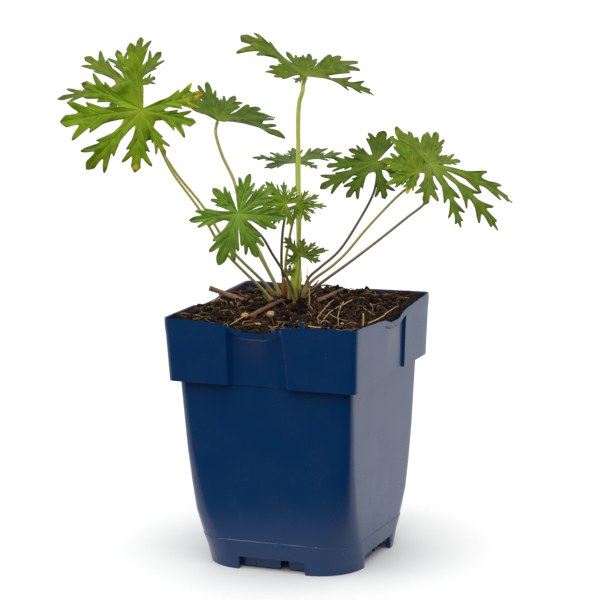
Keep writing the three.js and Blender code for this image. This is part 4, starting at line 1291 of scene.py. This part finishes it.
# ---------------------------------------------------------------- crown and debris
@dataclass
class Rootstock:
    """The knobbly crown and the papery sheaths that the stalks grow out of."""

    radii: tuple[float, float, float] = (12.0, 9.2, 9.2)
    scales: tuple[tuple[float, float, float], ...] = ((0.4, 8.0, 0.75), (3.3, 6.2, 0.35))
    main_stem_scales: float = 1.9
    papery: float = 0.22

    def build(self, origin: np.ndarray) -> None:
        """A ball on a grid of two angles, pushed in and out by noise."""
        rows, columns = 36, 56
        tilt = np.linspace(0.0, np.pi, rows)[:, None]
        around = np.linspace(0, 2 * np.pi, columns, endpoint=False)[None, :]
        ball = np.stack([np.sin(tilt) * np.cos(around), np.sin(tilt) * np.sin(around),
                         np.cos(tilt) * np.ones_like(around)], axis=-1)
        rough = 1 + 0.1 * lumps(ball, 0.33, 2.0) + 0.05 * lumps(ball, 0.12, 4.0)
        surface = ball * rough[..., None] * np.array(self.radii) + np.array(CROWN)
        work = Patchwork()
        tint = 0.5 + 0.5 * lumps(ball, 0.22, 8.0)
        work.add(planted(surface), grid_faces(rows, columns, closed=True), tint=tint)
        bark = Litter("rootstock_bark", ink(44, 30, 22), ink(112, 72, 44), 0.8)
        work.dress("rootstock", origin, bark.make(), "crown_skin", "crown", weld=0.01)

    def build_sheaths(self, origin: np.ndarray) -> None:
        """Pointed papery scales that clasp the foot of each stalk.

        Height s runs from 0 to 1 and angle a from -1 to 1: a point lies at the foot plus
        s length along the stalk, at a radius that flares, turned by a times a half angle that
        narrows to the tip.
        """
        work = Patchwork()
        for leaf in LEAVES:
            path = leaf.stalk_path()
            foot = np.array(leaf.route[0])
            rise = unit(path[14] - foot)
            grown = self.main_stem_scales if leaf.name == "g" else 1.0
            for copy, (turn, length, tint) in enumerate(self.scales):
                self.add_scale(work, foot, rise, leaf.stalk_radius * 1.25, length * grown,
                               turn + leaf.seed, tint, copy)
        skin = Litter("papery_sheath", ink(104, 62, 44), ink(176, 172, 96), 1.2, 0.6)
        piece = work.dress("stalk_sheaths", origin, skin.make(), "crown_skin")
        shell = piece.modifiers.new("papery", "SOLIDIFY")
        shell.thickness = self.papery * MM
        shell.offset = 0.0

    def build_wraps(self, origin: np.ndarray) -> None:
        """The swollen pale sheath round the main stem's foot, and the red one of the next stalk.

        Each is a tube through rows of place and radius.
        """
        wraps = {
            "stem_sheath": (StalkTone.SHEATH, (
                (-1.7, 8.4, 140, 1.5), (-1.5, 7.6, 147, 2.6), (-1.2, 7.0, 151.5, 3.3),
                (-0.8, 6.8, 157, 2.5), (-0.3, 6.7, 161, 1.9), (0.1, 6.6, 166, 1.35))),
            "red_sheath": (StalkTone.RED_SHEATH, (
                (-7.1, 12.3, 141, 2.0), (-7.6, 9.9, 146, 1.9), (-8.3, 6.4, 152.4, 0.9)))}
        for name, (tone, rows) in wraps.items():
            table = np.array(rows)
            fine = catmull_rom(table[:, :3], 8)
            radii = np.interp(fine[:, 2], table[:, 2], table[:, 3])
            work = Patchwork()
            work.add_tube(planted(fine), radii, 18)
            work.dress(name, origin, finish(tone), "crown_skin")

    def build_stubs(self, origin: np.ndarray) -> None:
        """The brown stub with its hair, and thin rust-coloured twigs, beside the main stem."""
        rows = (
            (0.75, 0.9, ((5.0, 5.0, 142.0), (5.4, 6.0, 147.5), (4.6, 6.0, 153.4))),
            (0.13, 0.5, ((4.6, 6.0, 153.0), (4.9, 6.0, 155.6), (5.0, 6.0, 158.2))),
            (0.42, 0.4, ((3.0, 3.0, 142.5), (6.1, 2.0, 146.0), (11.1, 4.0, 151.1))),
            (0.5, 0.3, ((3.6, 4.0, 142.6), (5.0, 4.0, 145.1), (10.0, 8.0, 148.7))),
            (0.13, 0.95, ((5.2, 3.4, 141.0), (5.5, 2.8, 144.5), (5.2, 3.0, 149.0))))
        work = Patchwork()
        for radius, tint, route in rows:
            path = catmull_rom(np.array(route), 8)
            rough = 1 + 0.2 * lumps(path, 1.4, 5.0)
            taper = np.linspace(1.1, 0.7, len(path))
            work.add_tube(planted(path), radius * rough * taper, 10, tint=tint)
        bark = Litter("old_stub_bark", ink(74, 44, 30), ink(164, 112, 78), 0.7)
        work.dress("old_stubs", origin, bark.make(), "crown_skin")

    @staticmethod
    def add_scale(work: Patchwork, foot: np.ndarray, rise: np.ndarray, radius: float,
                  length: float, turn: float, tint: float, copy: int) -> None:
        """One sheath scale, a curved sheet with a pointed tip."""
        s = np.linspace(0, 1, 9)[:, None]
        a = np.linspace(-1, 1, 9)[None, :]
        side = unit(np.cross(rise, [0.31, 0.9, 0.1]))
        up = np.cross(rise, side)
        spread = 1.7 * (1 - s**2.2) + 0.06
        angle = turn + a * spread
        flare = radius * (1.3 - 0.5 * s + 0.25 * s**3) + 0.12 + 0.3 * copy
        out = np.cos(angle)[..., None] * side + np.sin(angle)[..., None] * up
        surface = foot + ((s * length - 2.5) * np.ones_like(a))[..., None] * rise
        surface = surface + flare[..., None] * out
        shade = np.clip(tint + 0.25 * s * np.ones_like(a), 0, 1)
        work.add(planted(surface), grid_faces(9, 9), tint=shade)


@dataclass
class Debris:
    """What lies on the compost: dead stalks, pebbles, roots, straws, crumbs and perlite."""

    compost: PottingCompost
    dead_stalks: dict[str, tuple[StalkTone, float, tuple[tuple[float, float, float], ...]]] = field(
        default_factory=lambda: {
            "left": (StalkTone.BROWN, 1.45,
                     ((-49, 18, 145), (-43, 17.5, 142.8), (-37, 17, 140.4), (-31, 16, 138.4),
                      (-24, 14.5, 136.6))),
            "front": (StalkTone.RUST, 1.15,
                      ((-26.6, -13.6, 135.2), (-16.8, -4, 138.3), (-9, 2, 140.7))),
            "right": (StalkTone.RUST, 1.15, ((10.4, 2, 140.1), (17.7, 19, 139.7), (25, 36, 139.4)))})
    roots: tuple[tuple[float, tuple[tuple[float, float], ...]], ...] = (
        (0.24, ((19.0, 12.0), (14.6, -4.3), (10.1, -25.4), (10.4, -37.1))),
        (0.3, ((29.0, 14.0), (26.1, 9.0), (17.4, -9.4), (11.4, -37.2))),
        (0.22, ((24.8, 12.0), (21.2, -14.5), (20.6, -42.0))),
        (0.38, ((4.7, -41.0), (9.4, -46.0), (15.9, -49.0))),
        (0.26, ((36.5, -34.7), (42.8, -25.6), (48.3, -12.0), (54.0, -0.6))),
        (0.2, ((35.1, 1.2), (40.3, -18.5))),
        (0.26, ((-45.0, 19.5), (-38.9, 10.1))),
        (0.24, ((-47.5, 1.3), (-45.0, 19.5))),
        (0.3, ((-29.7, -14.9), (-36.7, -36.0))),
        (0.48, ((-23.2, -32.1), (-19.7, -32.9), (-15.8, -34.6))),
        (0.18, ((16.0, -12.0), (19.5, -22.0), (26.0, -30.0))),
        (0.17, ((-12.0, -26.0), (-8.0, -33.0), (-9.5, -40.0))))

    def on_compost(self, plan: np.ndarray, lift: float) -> np.ndarray:
        """Places of the plant's frame, laid on the surface, in the pot's frame."""
        flat = planted(np.column_stack([plan, np.zeros(len(plan))]))
        flat[:, 2] = self.compost.height(flat) + lift
        return flat

    @staticmethod
    def levelled(heights: np.ndarray) -> np.ndarray:
        """The highest of neighbours at each place, then twice the mean of neighbours."""
        for settle in (np.max, np.mean, np.mean):
            padded = np.pad(heights, 5, mode="edge")
            heights = settle(np.lib.stride_tricks.sliding_window_view(padded, 11), axis=-1)
        return heights

    def build_dead_stalks(self, origin: np.ndarray) -> None:
        """Ridged dry stems with a broken end, their radius varied by noise along them."""
        for name, (tone, radius, route) in self.dead_stalks.items():
            path = catmull_rom(np.array(route, float), 14)
            rough = 1 + 0.14 * lumps(path, 3.0, 6.0) + 0.08 * lumps(path, 1.1, 7.0)
            work = Patchwork()
            work.add_tube(planted(path), radius * rough * np.linspace(1.05, 0.86, len(path)), 14)
            work.dress(f"dry_stalk_{name}", origin, finish(tone), "dead_stalk",
                       f"dead_stalk_{name}")

    def build_pebbles(self, origin: np.ndarray) -> None:
        """Two tan grit stones: fine balls pushed in and out by noise."""
        stones = {"left": ((-29.3, -12.4, 135.4), (2.5, 2.1, 1.8)),
                  "right": ((-15.2, -12.6, 136.0), (2.5, 2.1, 1.9))}
        ball, faces = icosahedron(True)
        for seed, (name, (at, radii)) in enumerate(stones.items()):
            rough = 1 + 0.12 * lumps(ball, 0.7, seed + 4.0)
            points = ball * rough[:, None] * np.array(radii) + np.array(at)
            work = Patchwork()
            work.add(planted(points), faces, tint=0.5 + 0.4 * lumps(ball, 0.5, 3.0))
            grit = Litter(f"tan_grit_{name}", ink(132, 92, 44), ink(216, 172, 104), 0.5, 0.7)
            piece = work.dress(f"grit_{name}", origin, grit.make(), "pebble", f"pebble_{name}")
            rounded = piece.modifiers.new("worn", "SUBSURF")
            rounded.levels = 2
            rounded.render_levels = 2

    def build_roots(self, origin: np.ndarray) -> None:
        """Pale roots and straws, each a thin tapering tube laid on the surface."""
        work = Patchwork()
        for index, (radius, plan) in enumerate(self.roots):
            rough = catmull_rom(np.column_stack([np.array(plan), np.zeros(len(plan))]), 8)
            wander = 0.25 * lumps(rough, 5.0, index)[:, None] * [1, -1, 0]
            path = self.on_compost((rough + wander)[:, :2], 1.2)
            path[:, 2] = self.levelled(path[:, 2])
            taper = radius * (1 - 0.6 * np.linspace(0, 1, len(path)) ** 2)
            work.add_tube(path, taper, 7, tint=0.75 + 0.2 * float(lattice(np.full(3, index), 3)))
        for plan, height, radius in (((33.6, -37.5), 6.6, 0.42), ((5.4, -5.0), 11.0, 0.3)):
            foot = self.on_compost(np.array([plan]), -1.0)[0]
            top = foot + np.array([0.4, -0.2, height + 1.0])
            path = catmull_rom(np.array([foot, (foot + top) / 2 + [0.15, 0.1, 0], top]), 6)
            work.add_tube(path, np.full(len(path), radius), 7, tint=0.95)
        straw = Litter("pale_root_skin", ink(112, 76, 44), ink(204, 168, 108), 0.7, 0.75)
        work.dress("pale_roots", origin, straw.make(), "compost")

    def build_litter(self, origin: np.ndarray) -> None:
        """Crumbs, bark, fibres and perlite, scattered by seeded draws."""
        soil = self.compost
        brown = Litter("compost_crumbs", ink(8, 6, 5), ink(54, 37, 24))
        bark = Litter("bark_chips", ink(34, 24, 18), ink(104, 72, 48))
        white = Litter("perlite", ink(186, 188, 186), ink(236, 236, 232), 0.3)
        fibre = Litter("peat_fibres", ink(48, 34, 24), ink(176, 140, 94))
        pieces = [
            Crumbs("compost_crumbs", brown, soil.scatter(2800, 1), (0.35, 2.3), seed=21),
            Crumbs("bark_chips", bark, soil.scatter(260, 2), (0.6, 2.6), (1.5, 0.6, 0.3), 22, True),
            Crumbs("perlite_grains", white, soil.scatter(8, 3), (0.35, 0.9), (1, 0.9, 0.8), 23, True),
            Fibres("peat_fibres", fibre, soil.scatter(420, 4), (3.0, 11.0), (0.1, 0.24), soil, 24),
            Fibres("twigs", bark, soil.scatter(46, 5), (7.0, 17.0), (0.3, 0.55), soil, 25, rise=0.6)]
        for piece in pieces:
            piece.build(origin)


# ---------------------------------------------------------------- studio
@dataclass(frozen=True)
class Studio:
    """The camera, a pale floor whose grey near the pot is a painted soft shadow that fades out, and
    plain soft light.
    """

    azimuth: float = PLANT_TURN
    elevation: float = 11.3
    roll: float = -1.0
    distance_mm: float = 1495.0
    target_height: float = 141.0
    sidestep: float = 0.6
    lens: float = 165.3
    sensor: float = 36.0
    floor_reach: float = 700.0
    # Radii over which the floor's grey, a painted soft shadow round the pot, fades to clear.
    painted_shadow_from: float = 36.0
    painted_shadow_to: float = 165.0
    lamp_place: tuple[float, float, float] = (110.0, -570.0, 1200.0)
    lamp_aim: tuple[float, float, float] = (0.0, 0.0, 160.0)
    lamp_size_mm: float = 1800.0
    lamp_power: float = 14.0
    unlit_ahead: tuple[float, float] = (0.09, 0.63)
    bright_above: float = 0.55
    brightness: tuple[float, float] = (0.02, 1.1)

    def add_camera(self, origin: np.ndarray) -> None:
        """Put the camera at its distance behind the target, rolled, and make it the scene's."""
        a, e, r = (math.radians(v) for v in (self.azimuth, self.elevation, self.roll))
        back = np.array([math.sin(a) * math.cos(e), -math.cos(a) * math.cos(e), math.sin(e)])
        level = np.array([math.cos(a), math.sin(a), 0.0])
        upright = np.cross(back, level)
        right = math.cos(r) * level + math.sin(r) * upright
        up = -math.sin(r) * level + math.cos(r) * upright
        place = level * self.sidestep + np.array([0, 0, self.target_height]) + back * self.distance_mm
        data = bpy.data.cameras.new("camera")
        data.lens = self.lens
        data.sensor_width = self.sensor
        data.clip_end = 20.0
        camera = bpy.data.objects.new("camera", data)
        turn = Matrix((right, up, back)).transposed().to_4x4()
        camera.matrix_world = Matrix.Translation(Vector(place * MM + origin)) @ turn
        bpy.context.scene.collection.objects.link(camera)
        bpy.context.scene.camera = camera

    def add_floor(self, origin: np.ndarray) -> None:
        """A round pale floor, grey near the pot as a painted soft shadow, whose rim fades into the white
        surroundings.
        """
        rows, columns = 8, 64
        reach = (np.linspace(0, 1, rows)[:, None] ** 1.5) * self.floor_reach
        around = np.linspace(0, 2 * np.pi, columns, endpoint=False)[None, :]
        disc = np.stack([reach * np.cos(around), reach * np.sin(around),
                         np.zeros((rows, columns))], axis=-1)
        work = Patchwork()
        work.add(disc, grid_faces(rows, columns, closed=True), fade=reach * np.ones_like(around))
        floor = work.build("studio_floor", origin, weld=0.01)
        recipe = Recipe("floor_with_painted_shadow", (0.67, 0.675, 0.67))
        # Painted shadow: opaque grey near the pot, clearing outwards to the white surroundings.
        fade = recipe.remap(recipe.value("fade"), self.painted_shadow_from, self.painted_shadow_to, 1.0, 0.0)
        floor.data.materials.append(
            recipe.done(Roughness=0.6, Specular_IOR_Level=0.1, Alpha=fade))

    def add_light(self, origin: np.ndarray) -> None:
        """One large soft light overhead, a little to the front and left."""
        data = bpy.data.lights.new("overhead_softbox", "AREA")
        data.shape = "DISK"
        data.size = self.lamp_size_mm * MM
        data.energy = self.lamp_power
        lamp = bpy.data.objects.new("overhead_softbox", data)
        place = Vector(np.array(self.lamp_place) * MM + origin)
        aim = Vector(np.array(self.lamp_aim) * MM + origin) - place
        lamp.matrix_world = Matrix.Translation(place) @ aim.to_track_quat("-Z", "Y").to_matrix().to_4x4()
        bpy.context.scene.collection.objects.link(lamp)

    def add_world(self) -> None:
        """White surroundings, darker low down in front, where the room is unlit."""
        world = bpy.data.worlds.new("white_studio")
        world.use_nodes = True
        sky = NodeWork(world.node_tree)
        place = sky.node("ShaderNodeTexCoord").outputs["Generated"]
        split = sky.node("ShaderNodeSeparateXYZ")
        sky.feed(split.inputs[0], place)
        a = math.radians(self.azimuth)
        towards = sky.node("ShaderNodeVectorMath", operation="DOT_PRODUCT")
        sky.feed(towards.inputs[0], place)
        sky.feed(towards.inputs[1], (math.sin(a), -math.cos(a), 0.0))
        front = sky.remap(towards.outputs["Value"], *self.unlit_ahead, 1.0, 0.0)
        high = sky.remap(split.outputs["Z"], 0.0, self.bright_above)
        lit = sky.remap(sky.combine("MAXIMUM", front, high), 0.0, 1.0, *self.brightness)
        seen = sky.node("ShaderNodeLightPath").outputs["Is Camera Ray"]
        background = sky.node("ShaderNodeBackground")
        sky.feed(background.inputs["Color"], (1.0, 1.0, 1.0))
        sky.feed(background.inputs["Strength"], sky.combine("MAXIMUM", seen, lit))
        output = sky.node("ShaderNodeOutputWorld")
        sky.feed(output.inputs["Surface"], background.outputs[0])
        bpy.context.scene.world = world
        bpy.context.scene.view_settings.view_transform = "Standard"


# ---------------------------------------------------------------- the whole
def main() -> None:
    """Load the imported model, build every piece round it, and light it."""
    logging.basicConfig(level=logging.INFO, format="%(message)s")
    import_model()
    low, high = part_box("pot")
    origin = np.array([(low.x + high.x) / 2, (low.y + high.y) / 2, low.z])

    pot = NurseryPot()
    pot.build(origin)
    compost = PottingCompost(pot)
    compost.build(origin)
    crown = Rootstock()
    crown.build(origin)
    crown.build_sheaths(origin)
    crown.build_wraps(origin)
    crown.build_stubs(origin)
    for leaf in LEAVES:
        leaf.build_stalk(origin)
        leaf.build_blade(origin)
    debris = Debris(compost)
    debris.build_dead_stalks(origin)
    debris.build_pebbles(origin)
    debris.build_roots(origin)
    debris.build_litter(origin)

    studio = Studio()
    studio.add_camera(origin)
    studio.add_floor(origin)
    studio.add_light(origin)
    studio.add_world()


if __name__ == "__main__":
    main()
